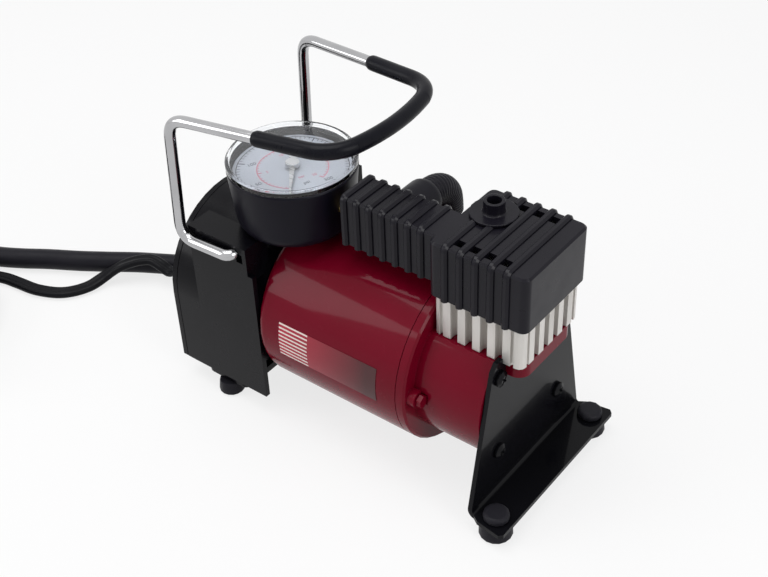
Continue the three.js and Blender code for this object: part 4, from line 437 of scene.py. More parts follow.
class Bench:
    """The modelling operators, each with its selection made first."""

    @classmethod
    def hold(cls, *pieces: Piece) -> None:
        """Selects these pieces alone, or none, and makes the first the active one.

        Args:
            pieces: the pieces.
        """
        bpy.ops.object.select_all(action="DESELECT")
        for piece in pieces:
            piece.select_set(True)
        if pieces:
            bpy.context.view_layer.objects.active = pieces[0]

    @classmethod
    def edit(cls, piece: Piece, *steps: Callable[[], object]) -> None:
        """Goes into edit mode on a piece, with all of it selected, and takes the steps in turn.

        Args:
            piece: the piece to shape.
            steps: the operator calls.
        """
        cls.hold(piece)
        bpy.ops.object.mode_set(mode="EDIT")
        bpy.ops.mesh.select_all(action="SELECT")
        for step in steps:
            step()
        bpy.ops.object.mode_set(mode="OBJECT")

    @classmethod
    def fix(cls, piece: Piece) -> None:
        """Puts a piece's place into its mesh, so that its object sits at the origin."""
        cls.hold(piece)
        bpy.ops.object.transform_apply(location=True, rotation=True, scale=True)

    @classmethod
    def modify(cls, piece: Piece, kind: str, **settings: object) -> None:
        """Adds a modifier and applies it.

        Args:
            piece: the piece to change.
            kind: the modifier's type.
            settings: its properties.
        """
        cls.hold(piece)
        modifier = piece.modifiers.new(kind.lower(), kind)
        for name, value in settings.items():
            setattr(modifier, name, value)
        bpy.ops.object.modifier_apply(modifier=modifier.name)

    @classmethod
    def smooth(cls, piece: Piece, degrees: float) -> None:
        """Shades a piece smooth but for the edges that are sharper than an angle."""
        cls.hold(piece)
        bpy.ops.object.shade_smooth_by_angle(angle=math.radians(degrees))

    @classmethod
    def round_off(cls, piece: Piece, edge: float, segments: int = 2, angle: float = 28) -> None:
        """Rounds a piece's sharp edges and smooths it.

        Args:
            piece: the piece to finish.
            edge: the width of the rounding, in millimetres.
            segments: its facets.
            angle: the least angle of a sharp edge, in degrees.
        """
        limit = math.radians(angle)
        rounding = {"width": edge * MM, "segments": segments, "miter_outer": "MITER_ARC"}
        cls.modify(piece, "BEVEL", limit_method="ANGLE", angle_limit=limit, **rounding)
        cls.smooth(piece, SHARP)
        cls.modify(piece, "WEIGHTED_NORMAL", keep_sharp=True, weight=60)

    @classmethod
    def outward(cls, piece: Piece) -> None:
        """Merges doubles and turns every face outwards."""
        merge = partial(bpy.ops.mesh.remove_doubles, threshold=DOUBLES)
        cls.edit(piece, merge, partial(bpy.ops.mesh.normals_make_consistent, inside=False))

    @classmethod
    def shell(cls, name: str, points: Iterable[Vector], faces: Sequence[Sequence[int]]) -> Piece:
        """Makes a piece from worked-out points.

        Args:
            name: the piece's name.
            points: its points, in millimetres.
            faces: each face, by its points.

        Returns:
            The piece, with its faces turned outwards.
        """
        mesh = bpy.data.meshes.new(name)
        mesh.from_pydata([tuple(point * MM) for point in points], [], faces)
        piece = bpy.data.objects.new(name, mesh)
        bpy.context.scene.collection.objects.link(piece)
        cls.outward(piece)
        return piece

    @classmethod
    def ribbon(cls, name: str, rows: Sequence[Sequence[Vector]], thickness: float, offset: float) -> Piece:
        """Makes a thin band.

        Args:
            name: the piece's name.
            rows: a point on each of its two edges for every step along it, in millimetres.
            thickness: its thickness, in millimetres.
            offset: where the thickness goes: 1 outwards, -1 inwards and 0 to both sides.

        Returns:
            The band.
        """
        faces = [(k, k + 1, k + 3, k + 2) for k in range(0, 2 * len(rows) - 2, 2)]
        band = cls.shell(name, [point for row in rows for point in row], faces)
        cls.modify(band, "SOLIDIFY", thickness=thickness * MM, offset=offset)
        return band

    @classmethod
    def block(cls, middle: Iterable[float], turn: Point, size: Point) -> Piece:
        """Makes a small block, for a printed mark or a cut.

        Args:
            middle: its middle, in millimetres.
            turn: its turn about X, Y and Z, in degrees.
            size: its sides, in millimetres.

        Returns:
            The block.
        """
        cls.hold()
        at, scale = ([value * MM for value in values] for values in (middle, size))
        rotation = [math.radians(angle) for angle in turn]
        bpy.ops.mesh.primitive_cube_add(size=1, location=at, rotation=rotation, scale=scale)
        block = bpy.context.active_object
        cls.fix(block)
        return block

    @classmethod
    def turned(cls, name: str, profile: Outline, at: Point, axis: Sequence[float], sides: int) -> Piece:
        """Draws a round piece up from a ring, step by step along its axis.

        Args:
            name: the piece's name.
            profile: radius and distance along the axis of each ring, in millimetres. It starts and ends
                on the axis, or comes back to its first ring.
            at: where the axis starts, in millimetres.
            axis: the axis's direction.
            sides: how many sides a ring has.

        Returns:
            The piece, in its place.
        """
        cls.hold()
        rings = [(max(radius, POLE) * MM, along * MM) for radius, along in profile]
        radius, along = rings[0]
        bpy.ops.mesh.primitive_circle_add(vertices=sides, radius=radius, location=(0, 0, along))
        piece = bpy.context.active_object
        piece.name = name
        ops, steps = bpy.ops, []
        for (last, low), (radius, high) in zip(rings, rings[1:]):
            grow = radius / last
            move = {"value": (0, 0, high - low)}
            steps.append(partial(ops.mesh.extrude_region_move, TRANSFORM_OT_translate=move))
            steps.append(partial(ops.transform.resize, value=(grow, grow, 1), center_override=(0, 0, high)))
        if profile[0] != profile[-1]:
            steps += [partial(ops.mesh.select_all, action="SELECT"), partial(ops.mesh.fill_holes, sides=0)]
        cls.edit(piece, *steps)
        turn = UP.rotation_difference(Vector(axis)).to_matrix().to_4x4()
        piece.data.transform(Matrix.Translation(Vector(at) * MM) @ turn @ piece.matrix_world)
        piece.matrix_world = Matrix.Identity(4)
        cls.outward(piece)
        return piece

    @classmethod
    def carved(cls, piece: Piece, tool: Piece, operation: str = "DIFFERENCE") -> None:
        """Cuts a tool out of a piece, or joins it on, and clears the tool away."""
        cls.modify(piece, "BOOLEAN", object=tool, operation=operation, solver="EXACT")
        bpy.data.objects.remove(tool)


# ---- paths


@dataclass(frozen=True)
class Bend:
    """A corner of a wire and how far from it the bend starts, in millimetres."""

    x: float
    y: float
    z: float
    set_back: float = 0.0

    def point(self) -> Vector:
        """The corner as a vector."""
        return Vector((self.x, self.y, self.z))


def rounded_path(corners: Sequence[Bend], steps: int) -> list[Vector]:
    """Follows straight runs and bends.

    Args:
        corners: the wire's corners.
        steps: how many steps a bend is made of.

    Returns:
        Points along the middle of the wire, in millimetres.
    """
    path = [corners[0].point()]
    for before, here, after in zip(corners, corners[1:], corners[2:]):
        corner = here.point()
        if not here.set_back:
            path.append(corner)
            continue
        start, end = (corner + (to.point() - corner).normalized() * here.set_back for to in (before, after))
        for k in range(steps + 1):
            t = k / steps
            path.append(start * (1 - t) ** 2 + corner * 2 * t * (1 - t) + end * t**2)
    return [*path, corners[-1].point()]


def smooth_path(points: Sequence[Point], step: float) -> list[Vector]:
    """A centripetal curve through the points.

    Args:
        points: the points to go through, in millimetres.
        step: the distance between the samples, in millimetres.

    Returns:
        The samples, evenly spread.
    """
    at = [Vector(p) for p in points]
    at = [at[0] * 2 - at[1], *at, at[-1] * 2 - at[-2]]
    fine: list[Vector] = []
    for quad in zip(at, at[1:], at[2:], at[3:]):
        knots = [0.0]
        for a, b in zip(quad, quad[1:]):
            knots.append(knots[-1] + max((b - a).length, 1e-6) ** 0.5)
        t0, t1, t2, t3 = knots
        for k in range(CURVE_STEPS):
            t = t1 + (t2 - t1) * k / CURVE_STEPS
            row = list(quad)
            for spans in (((t0, t1), (t1, t2), (t2, t3)), ((t0, t2), (t1, t3)), ((t1, t2),)):
                row = [
                    a * ((end - t) / (end - start)) + b * ((t - start) / (end - start))
                    for a, b, (start, end) in zip(row, row[1:], spans)
                ]
            fine += row
    return spread([*fine, at[-2]], step)


def reached(path: Sequence[Vector]) -> list[float]:
    """How far along a path each of its points is, in the path's own unit."""
    return [0.0, *accumulate((b - a).length for a, b in zip(path, path[1:]))]


def spread(path: Sequence[Vector], step: float) -> list[Vector]:
    """Puts samples at even distances along a path.

    Args:
        path: the path.
        step: about how far apart they are, in its own unit.

    Returns:
        The samples.
    """
    lengths = reached(path)
    count = max(2, round(lengths[-1] / step))
    samples, at = [], 0
    for k in range(count + 1):
        goal = lengths[-1] * k / count
        while at < len(path) - 2 and lengths[at + 1] < goal:
            at += 1
        span = lengths[at + 1] - lengths[at] or 1
        samples.append(path[at].lerp(path[at + 1], (goal - lengths[at]) / span))
    return samples


class Lay(Enum):
    """How a section is kept as it goes along its path."""

    LEVEL = "level"
    ROLLING = "rolling"


def directions(path: Sequence[Vector], lay: Lay) -> list[tuple[Vector, Vector]]:
    """Works out which way is across and which is up all along a path.

    Args:
        path: the path.
        lay: whether across stays level or rolls with the path.

    Returns:
        Both directions at each point.
    """
    found: list[tuple[Vector, Vector]] = []
    across = Vector((0, 0, 0))
    for before, after in zip([path[0], *path], [*path[1:], path[-1]]):
        along = (after - before).normalized()
        if lay is Lay.LEVEL or not found:
            side = UP.cross(along)
            across = side.normalized() if side.length > 1e-3 else Vector((0, 1, 0))
        else:
            across = (across - along * across.dot(along)).normalized()
        found.append((across, along.cross(across)))
    return found


def bands(starts: Sequence[int], count: int) -> list[tuple[int, ...]]:
    """Joins each ring of points to the next with four-sided faces.

    Args:
        starts: the number of each ring's first point.
        count: how many points a ring has.

    Returns:
        The faces.
    """
    return [
        (a + j, a + (j + 1) % count, b + (j + 1) % count, b + j)
        for a, b in zip(starts, starts[1:])
        for j in range(count)
    ]


def swept(
    name: str,
    path: Sequence[Vector],
    section: Outline,
    lay: Lay,
    swell: Callable[[int], float] = lambda _: 1.0,
) -> Piece:
    """Sweeps a closed section along a path.

    Args:
        name: the piece's name.
        path: the middle of the piece, in millimetres.
        section: the section's outline, across and up, in millimetres.
        lay: whether the section stays level or rolls with the path.
        swell: how large the section is at each sample of the path.

    Returns:
        The piece, closed at both ends.
    """
    points = [
        middle + (across * u + up * v) * swell(i)
        for i, (middle, (across, up)) in enumerate(zip(path, directions(path, lay)))
        for u, v in section
    ]
    count, total = len(section), len(points)
    ends = [tuple(reversed(range(count))), tuple(range(total - count, total))]
    piece = Bench.shell(name, points, bands(range(0, total, count), count) + ends)
    Bench.smooth(piece, SWEPT_SHARP)
    return piece


def round_section(radius: float, sides: int) -> list[tuple[float, float]]:
    """A round section's outline."""
    turns = [2 * math.pi * k / sides for k in range(sides)]
    return [(radius * math.cos(turn), radius * math.sin(turn)) for turn in turns]


def twin_section(width: float, thickness: float) -> list[tuple[float, float]]:
    """The outline of two cores side by side, with the groove between them.

    Args:
        width: across both cores, in millimetres.
        thickness: across one core.

    Returns:
        The outline.
    """
    core = thickness / 2
    offset = width / 2 - core
    arc = [math.radians(a) for a in CORE_ARC]
    right = [(offset + core * math.cos(a), core * math.sin(a)) for a in arc]
    return right + [(-x, y) for x, y in reversed(right)]


# ---- the workshop


@dataclass
class Workshop:
    """The loaded frame, and the ways to dress its nodes."""

    frame: dict
    owner: dict[str, str] = field(default_factory=dict)

    def __post_init__(self) -> None:
        """Notes which body each node rides on."""
        for body, members in self.frame["record"]["behaviour"]["bodies"].items():
            self.owner.update(dict.fromkeys(members, body))

    @staticmethod
    def paint(piece: Piece, finish: Finish) -> None:
        """Gives a piece one finish."""
        piece.data.materials.clear()
        piece.data.materials.append(finish.material())

    def dress(self, finish: Finish, *nodes: str) -> None:
        """Gives CAD nodes that stay on show their finish."""
        for node in nodes:
            self.paint(self.frame["nodes"][node], finish)

    def seat(self, piece: Piece, finish: Finish, *nodes: str, body: str = "frame") -> Piece:
        """Dresses a new piece and lets it ride on a body.

        Args:
            piece: the piece, in its place.
            finish: its finish.
            nodes: the CAD nodes that it stands for.
            body: the body it rides on.

        Returns:
            The piece.
        """
        self.paint(piece, finish)
        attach(piece, body)
        if nodes:
            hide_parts(*nodes)
        LOG.info("%s rides on %s", piece.name, body)
        return piece

    def copied(self, node: str, name: str) -> Piece:
        """Copies a node's mesh, merges it and clears the seams in its flat faces.

        Args:
            node: the CAD node.
            name: the copy's name.

        Returns:
            The copy.
        """
        piece = bpy.data.objects.new(name, self.frame["nodes"][node].data.copy())
        bpy.context.scene.collection.objects.link(piece)
        merge = partial(bpy.ops.mesh.remove_doubles, threshold=2 * DOUBLES)
        Bench.edit(piece, merge, partial(bpy.ops.mesh.dissolve_limited, angle_limit=math.radians(0.6)))
        return piece

    def refined(
        self, node: str, name: str, finish: Finish, edge: float, segments: int = 2, angle: float = 28
    ) -> Piece:
        """Stands a copy with rounded edges in a node's place.

        Args:
            node: the CAD node.
            name: the new piece's name.
            finish: its finish.
            edge: the width of its rounded edges, in millimetres.
            segments: the facets of a rounded edge.
            angle: the least angle of a sharp edge, in degrees.

        Returns:
            The new piece.
        """
        piece = self.copied(node, name)
        Bench.round_off(piece, edge, segments, angle)
        return self.seat(piece, finish, node, body=self.owner[node])


@dataclass
class Studio:
    """The camera, the soft boxes, the floor and the white surround, in metres."""

    eye: Point = (0.24621, -0.30334, 0.36705)
    right: Point = (0.79330, 0.60791, -0.03343)
    up: Point = (-0.35661, 0.50847, 0.78376)
    ahead: Point = (-0.49346, 0.60984, -0.62016)
    lens: float = 61.03
    sensor: float = 36.0
    floor_size: float = 8
    floor_z: float = -0.0004
    floor_glow: float = 0.78

    def build(self) -> None:
        """Sets up all that isn't the object."""
        self.camera()
        self.lamp("overhead_box", (-0.15, -0.1, 0.95), (0, 0, 0.05), (0.7, 0.7), 5.5)
        self.lamp("left_box", (-0.75, -0.75, 0.55), (0, 0, 0.06), (0.5, 0.6), 3.5)
        self.lamp("right_box", (0.85, -0.15, 0.5), (0.02, 0, 0.06), (0.35, 0.6), 3.0)
        self.surround()
        self.floor()

    def camera(self) -> None:
        """Stands the camera in front, to the right and above."""
        bpy.ops.object.camera_add(location=self.eye)
        camera = bpy.context.active_object
        camera.name = "studio_camera"
        camera.data.lens = self.lens
        camera.data.sensor_width = self.sensor
        camera.data.clip_start, camera.data.clip_end = 0.01, 20
        columns = Matrix((self.right, self.up, [-c for c in self.ahead])).transposed()
        camera.rotation_mode = "QUATERNION"
        camera.rotation_quaternion = columns.to_quaternion()
        bpy.context.scene.camera = camera

    @staticmethod
    def lamp(name: str, at: Point, aim: Point, size: tuple[float, float], power: float) -> None:
        """Hangs a soft box.

        Args:
            name: its name.
            at: its place.
            aim: the point it faces.
            size: its width and height.
            power: its power in watts.
        """
        bpy.ops.object.light_add(type="AREA", location=at)
        lamp = bpy.context.active_object
        lamp.name = name
        lamp.data.shape = "RECTANGLE"
        lamp.data.size, lamp.data.size_y = size
        lamp.data.energy = power
        lamp.rotation_mode = "QUATERNION"
        lamp.rotation_quaternion = (Vector(aim) - Vector(at)).to_track_quat("-Z", "Y")

    @staticmethod
    def seen(g: Graph) -> Socket:
        """Gives 1 for a ray of the camera, or one that metal or glass sends on.

        Args:
            g: the material's or the world's nodes.

        Returns:
            The number.
        """
        path = g.node("LightPath").outputs
        seen = g.maths("MAXIMUM", path["Is Camera Ray"], path["Is Glossy Ray"])
        return g.maths("MAXIMUM", seen, path["Is Transmission Ray"])

    def surround(self) -> None:
        """Makes the world white to the camera, and a soft grey sky to the lit surfaces."""
        world = bpy.data.worlds.new("studio_surround")
        bpy.context.scene.world = world
        g = Graph(world, "Background")
        height = g.node("SeparateXYZ", Vector=g.place["Generated"]).outputs["Z"]
        sky = g.between(height, (0.2, 0.2, 0.21), (0.42, 0.42, 0.43), (0.0, 0.8))
        g.set(Color=g.mixed(self.seen(g), sky, WHITE), Strength=1.0)

    def floor(self) -> None:
        """Lays a pale floor that is white to the camera but keeps the shadow."""
        Bench.hold()
        bpy.ops.mesh.primitive_plane_add(size=self.floor_size, location=(0, 0, self.floor_z))
        floor = bpy.context.active_object
        floor.name = "studio_floor"
        material = bpy.data.materials.new("pale_floor")
        g = Graph(material)
        g.set(Base_Color=(0.82, 0.82, 0.82, 1), Roughness=0.9, Specular_IOR_Level=0.1)
        glow = g.node("Emission", Color=WHITE, Strength=1.0).outputs["Emission"]
        share = g.maths("MULTIPLY", self.seen(g), self.floor_glow)
        mix = g.node("MixShader", share, g.shader.outputs["BSDF"], glow)
        g.feed(g.tree.nodes["Material Output"], Surface=mix.outputs["Shader"])
        floor.data.materials.append(material)


# ---- assemblies


@dataclass
class PowerLead:
    """The flat twin cord, its stored coil with its ties, the gland and the lighter plug."""

    shop: Workshop
    width: float = 6.4
    thickness: float = 3.2
    step: float = 1.6
    end_step: float = 2.2
    gland_end: float = -104.2
    gland_y: float = 5.0
    gland_z: float = 22.0
    collar: float = 6.0
    neck: float = 4.2
    ribs: int = 6
    rib: float = 5.5
    rib_taper: float = 1.3
    rib_height: float = 0.8
    floor_z: float = 1.9
    coil_x: float = -206.6
    coil_y: float = -89.3
    coil_height: float = 16.8
    coil_start: float = 91.2
    coil_step: float = 6.0
    entry_radius: float = 46.5
    columns: tuple[float, ...] = (39.8, 33.2, 26.6)
    settling: float = 70.0
    turns: int = 4
    short_angle: float = 110
    short_turns: float = 0.3
    layer: float = 3.3
    plug_z: float = 27.6
    tie_angles: tuple[float, ...] = (60.0, 150.0, 330.0)
    tie_half: float = 2.2
    tie_corner: float = 2.4
    tie_thickness: float = 0.7

    def build(self) -> None:
        """Makes the lead from the gland to the plug."""
        path = smooth_path(self.free_route(), self.step) + self.coil_path()[1:]
        cord = swept("power_cord_lead", path, twin_section(self.width, self.thickness), Lay.LEVEL)
        self.shop.seat(cord, SHEATH, "power_cord", "power_cord_coil")
        gland = self.gland()
        plug = self.shop.refined("plug_body", "lighter_plug_moulding", GAUGE_PLASTIC, 0.4)
        ties = [self.tie(f"coil_tie_{k}", angle) for k, angle in enumerate(self.tie_angles)]
        self.shop.dress(STEEL, "plug_clip", "plug_tip")

    def free_route(self) -> list[Point]:
        """The stretch from the gland to the coil.

        Returns:
            The points that it goes through, in millimetres.
        """
        raised = [
            (self.gland_end - 0.3, self.gland_y, self.gland_z), (-110, 5, 21.3), (-115.5, 5, 18),
            (-120.5, 4.9, 12.8), (-124.5, 4.6, 8.8), (-128.2, 4.1, 7.4), (-131.8, 3.3, 9.4),
            (-136.7, 2.3, 11.2), (-140.8, -0.5, 11.2), (-147.4, -6.2, 8.9), (-153.8, -12, 3.8),
        ]
        flat = [
            (-156.4, -21), (-162.3, -30.6), (-173.5, -36.2), (-184.9, -37.9), (-192, -38.9), (-199, -41),
            (self.coil_x - 1, self.coil_y + self.entry_radius),
        ]
        return raised + [(x, y, self.floor_z) for x, y in flat]

    def coil_path(self) -> list[Vector]:
        """The coil's turns, column by column, and the end that comes over its top to the plug.

        Returns:
            The samples along them, in millimetres.
        """
        path: list[Vector] = []
        angle, radius, z = self.coil_start, self.entry_radius, self.floor_z
        for column, target in enumerate(self.columns):
            last = target == self.columns[-1]
            span = 360 * self.turns - (self.short_angle if last else 0)
            climb = (-1) ** column * self.layer * (self.turns - (self.short_turns if last else 0))
            count = round(span / self.coil_step)
            for k in range(1, count + 1):
                share = min(1.0, span * k / count / self.settling)
                eased = share * share * (3 - 2 * share)
                here = radius + (target - radius) * eased
                path.append(self.on_coil(angle + span * k / count, here, z + climb * k / count))
            angle, radius, z = angle + span, target, z + climb
        return path + self.rising_end(path[-2:])

    def on_coil(self, angle: float, radius: float, z: float) -> Vector:
        """A point round the coil's axis, in millimetres."""
        turn = math.radians(angle)
        return Vector((self.coil_x + radius * math.cos(turn), self.coil_y + radius * math.sin(turn), z))

    def rising_end(self, before: Sequence[Vector]) -> list[Vector]:
        """The cord's end, from the inner column over the other turns and up to the plug's tail.

        Args:
            before: the last two samples of the coil.

        Returns:
            The samples after them.
        """
        over = ((8, 28.2, 16.4), (50, 30.5, 18.5), (90, 32.5, 18.9), (128, 35.5, 19.2))
        top, tail = self.coil_height, self.plug_z
        beside = [
            (-35.5, 14, top + 2.9), (-38, 5, top + 4.3), (-36.5, -6, top + 6.8), (-30, -16, top + 9.4),
            (-22.5, -20.8, tail - 0.3), (-19, -22, tail), (-13, -22, tail),
        ]
        points = [*before, *(self.on_coil(*place) for place in over)]
        points += [(self.coil_x + x, self.coil_y + y, z) for x, y, z in beside]
        return smooth_path(points, self.end_step)[2:]

    def gland(self) -> Piece:
        """The ribbed strain relief, drawn by its distance behind the middle.

        Returns:
            The relief.
        """
        end, ribs_start = -self.gland_end, 83.4
        profile = [(0.0, 75.6), (self.collar, 75.6), (self.collar, 77.4), (self.neck, 77.6)]
        profile += [(self.neck, 80.55), (self.collar, 80.55), (self.collar, 82.8)]
        pitch = (end - 2.0 - ribs_start) / self.ribs
        for k in range(self.ribs):
            at, crest = ribs_start + pitch * k, self.rib - self.rib_taper * k / self.ribs
            root = crest - self.rib_height
            profile += [(crest, at), (crest, at + pitch * 0.5)]
            profile += [(root, at + pitch * 0.6), (root, at + pitch * 0.9)]
        profile += [(self.neck, end - 1.6), (3.9, end), (0.0, end)]
        at = (0, self.gland_y, self.gland_z)
        piece = Bench.turned("cord_strain_relief", profile, at, (-1, 0, 0), 40)
        Bench.round_off(piece, 0.25, angle=25)
        return self.shop.seat(piece, FOOT_RUBBER, "cord_gland")

    def tie(self, name: str, angle: float) -> Piece:
        """A band round the coil's turns.

        Args:
            name: the piece's name.
            angle: where it is round the coil, in degrees.

        Returns:
            The band.
        """
        low, high, inner, outer = 0.8, 17.4, 22.2, 44.2
        corners = [(inner, low), (outer, low), (outer, high), (inner, high)]
        turn = math.radians(angle)
        out = Vector((math.cos(turn), math.sin(turn), 0))
        half = Vector((-out.y, out.x, 0)) * self.tie_half
        centre = Vector((self.coil_x, self.coil_y, 0))
        middles = []
        for k, (radius, z) in enumerate(corners):
            for r, h in (corners[k - 1], corners[(k + 1) % 4]):
                pull = Vector((r - radius, h - z)).normalized() * self.tie_corner
                middles.append(centre + out * (radius + pull.x) + Vector((0, 0, z + pull.y)))
        count = len(middles)
        edges = [middle + half for middle in middles] + [middle - half for middle in middles]
        piece = Bench.shell(name, edges, bands([0, count], count))
        Bench.modify(piece, "SOLIDIFY", thickness=self.tie_thickness * MM, offset=1.0)
        Bench.round_off(piece, 0.15)
        return self.shop.seat(piece, TIE)


@dataclass
class AirLine:
    """The air pipe, the hose with its boot, and the valve connector."""

    shop: Workshop
    radius: float = 4.75
    sides: int = 28
    step: float = 1.5
    floor_gap: float = 0.1
    outlet_x: float = 10.6
    air_z: float = 97.0
    elbow: float = 5.9
    elbow_sides: int = 40
    elbow_step: float = 0.25

    def build(self) -> None:
        """Makes the line from the cover to the connector."""
        path = smooth_path(self.route(), self.step)
        hose = swept("air_hose_rubber", path, round_section(self.radius, self.sides), Lay.ROLLING)
        self.shop.seat(hose, HOSE_RUBBER, "air_hose")
        boot = self.boot()
        connector = self.shop.refined("hose_connector", "valve_connector", GAUGE_PLASTIC, 0.4)
        lever = self.shop.refined("connector_lever", "valve_lever", LEVER_RED, 0.3)
        ferrule = self.ferrule()
        self.shop.dress(BRASS, "air_manifold")

    def route(self) -> list[Point]:
        """The hose's route: down from the boot, along the floor and up to the connector.

        Returns:
            The points that it goes through, in millimetres.
        """
        down = [
            (10.9, 28.2, 83.1), (10.8, 28.5, 81.2), (10.2, 29.9, 77.4), (8.4, 33, 71.4), (4.8, 37.2, 64.8),
            (-0.4, 40.7, 57.6), (-7.4, 42.9, 49.6), (-16.4, 43.7, 41), (-28, 43.75, 31), (-41, 43.6, 21.5),
            (-55, 43.2, 14), (-69, 41.8, 8.9), (-86, 37, 5.8),
        ]
        flat = [
            (-103, 28.4), (-119, 19.2), (-134, 10.4), (-147, 3.1), (-159, -4.7), (-171, -12.3), (-184, -19.7),
            (-196, -27.2), (-206, -32.4), (-217, -35.9), (-230, -40), (-243, -48.5), (-253, -60),
        ]
        up = [(-259, -73, 5.6), (-261.3, -81, 7.6), (-261.5, -86, 8.1), (-261.5, -90, 8.1)]
        return [*down, *((x, y, self.radius + self.floor_gap) for x, y in flat), *up]

    def boot(self) -> Piece:
        """The rubber boot: a smooth collar over the outlet and a ribbed elbow that turns the hose down.

        Returns:
            The boot.
        """
        profile = [(0.0, 1.0), (6.9, 1.0), (7.4, 1.8), (7.4, 13.2), (7.2, 14.4), (6.7, 15.4), (6.0, 16.0)]
        at = (self.outlet_x, 0, self.air_z)
        piece = Bench.turned("hose_outlet_boot", [*profile, (0.0, 16.0)], at, (0, 1, 0), 48)
        Bench.round_off(piece, 0.25, angle=25)
        bend = [
            (self.outlet_x, 12.0, self.air_z), (self.outlet_x, 16.0, self.air_z), (10.8, 20.4, 96.6),
            (11, 24.2, 94.8), (11.1, 26.8, 91.6), (11, 27.8, 87.6), (10.9, 28.2, 83.6),
        ]
        path, section = smooth_path(bend, self.elbow_step), round_section(self.elbow, self.elbow_sides)
        elbow = swept("boot_elbow", path, section, Lay.ROLLING, self.ribbed)
        Bench.carved(piece, elbow, "UNION")
        Bench.smooth(piece, 40)
        return self.shop.seat(piece, HOSE_RUBBER, "hose_boot")

    @staticmethod
    def ribbed(sample: int) -> float:
        """How large the elbow is at a sample: fine ribs that run round it."""
        return 1.0 if sample % 5 < 3 else 0.955

    def ferrule(self) -> Piece:
        """The crimped collar where the hose enters the connector.

        Returns:
            The collar.
        """
        profile = [(5.0, 0.0), (5.6, 0.0), (5.6, 1.2), (5.2, 1.8)]
        profile += [(5.2, 4.2), (5.6, 4.8), (5.6, 6.0), (5.0, 6.0)]
        at = (-261.5, -83.7, 7.95)
        piece = Bench.turned("hose_ferrule", [*profile, profile[0]], at, (0, -1, 0), 40)
        Bench.round_off(piece, 0.15, angle=25)
        return self.shop.seat(piece, STEEL)


@dataclass
class Motor:
    """The red can and what is in it."""

    shop: Workshop
    axis_z: float = 45.0
    radius: float = 36.0
    label_ends: tuple[float, float] = (-22.5, 23.8)
    label_edges: tuple[float, float] = (39.8, 54.6)
    label_gap: float = 0.06
    label_steps: int = 24

    def build(self) -> None:
        """Refines the drawn can and dresses the inner parts."""
        self.shop.refined("motor_can", "motor_can_shell", RED_PAINT, 0.5, 3, 40)
        self.label()
        self.shop.dress(BRONZE, "rear_bearing")
        self.shop.dress(STEEL, "motor_shaft", "armature_core", "front_bearing")
        self.shop.dress(COPPER, "armature_winding", "commutator")
        self.shop.dress(FERRITE, "magnet_upper", "magnet_lower")
        self.shop.dress(PHENOLIC, "brush_card")
        self.shop.dress(CARBON, "brush_left", "brush_right")
        for side in SIDES:
            self.shop.refined(f"through_bolt_{side}", f"motor_bolt_{side}", RED_PAINT, 0.3)

    def label(self) -> None:
        """The clear label on the near side."""
        reach = self.radius + self.label_gap
        low, high = (math.asin((z - self.axis_z) / self.radius) for z in self.label_edges)
        rows = []
        for k in range(self.label_steps + 1):
            turn = low + (high - low) * k / self.label_steps
            y, z = -reach * math.cos(turn), self.axis_z + reach * math.sin(turn)
            rows.append([Vector((x, y, z)) for x in self.label_ends])
        piece = Bench.ribbon("motor_label", rows, 0.08, 0.0)
        Bench.smooth(piece, 30)
        along, up = (tuple(end * MM for end in ends) for ends in (self.label_ends, self.label_edges))
        self.shop.seat(piece, PrintedLabel("clear_motor_label", "red_paint", along, up))


@dataclass
class Pump:
    """The crankcase, the cylinder and the parts between them."""

    shop: Workshop

    def build(self) -> None:
        """Refines the castings and dresses the moving parts."""
        refined = self.shop.refined
        refined("crankcase", "crankcase_casting", RED_PAINT, 0.6, 3)
        refined("cylinder_block", "finned_cylinder", CAST_ALUMINIUM, 0.28)
        refined("cylinder_head", "head_casting", CAST_ALUMINIUM, 0.3)
        refined("piston_rod", "connecting_rod", CAST_ALUMINIUM, 0.25)
        refined("crank", "crank_web", STEEL, 0.25)
        self.shop.dress(STEEL, "cylinder_liner", "valve_plate")
        self.shop.dress(PTFE, "piston_cup")
        for end in ("rear", "front"):
            for side in SIDES:
                refined(f"cylinder_bolt_{end}_{side}", f"head_bolt_{end}_{side}", STEEL, 0.25)


@dataclass
class Cover:
    """The ribbed cover and its intake."""

    shop: Workshop

    def build(self) -> None:
        """Rounds the cover's ribs and edges."""
        self.shop.refined("top_cover", "ribbed_cover", COVER_PLASTIC, 0.35, 2, 24)
        self.shop.refined("intake_spigot", "intake_spigot_moulding", COVER_PLASTIC, 0.3)


@dataclass(frozen=True)
class Scale:
    """A printed scale: its steps, the radii of its arc, marks and words, and their sizes, in millimetres."""

    name: str
    ink: Finish
    steps: int
    arc: float
    minor: float
    major: float
    values: range
    number_radius: float
    word_size: float
    unit: str
    unit_radius: float


PSI_SCALE = Scale(
    "dial_outer_scale", DIAL_BLACK, 60, 20.9, 19.5, 18.1, range(0, 301, 50), 15.5, 2.4, "psi", 11.1
)
BAR_SCALE = Scale("dial_inner_scale", DIAL_RED, 40, 13.2, 12.3, 11.6, range(0, 21, 5), 9.5, 1.9, "bar", 7.0)


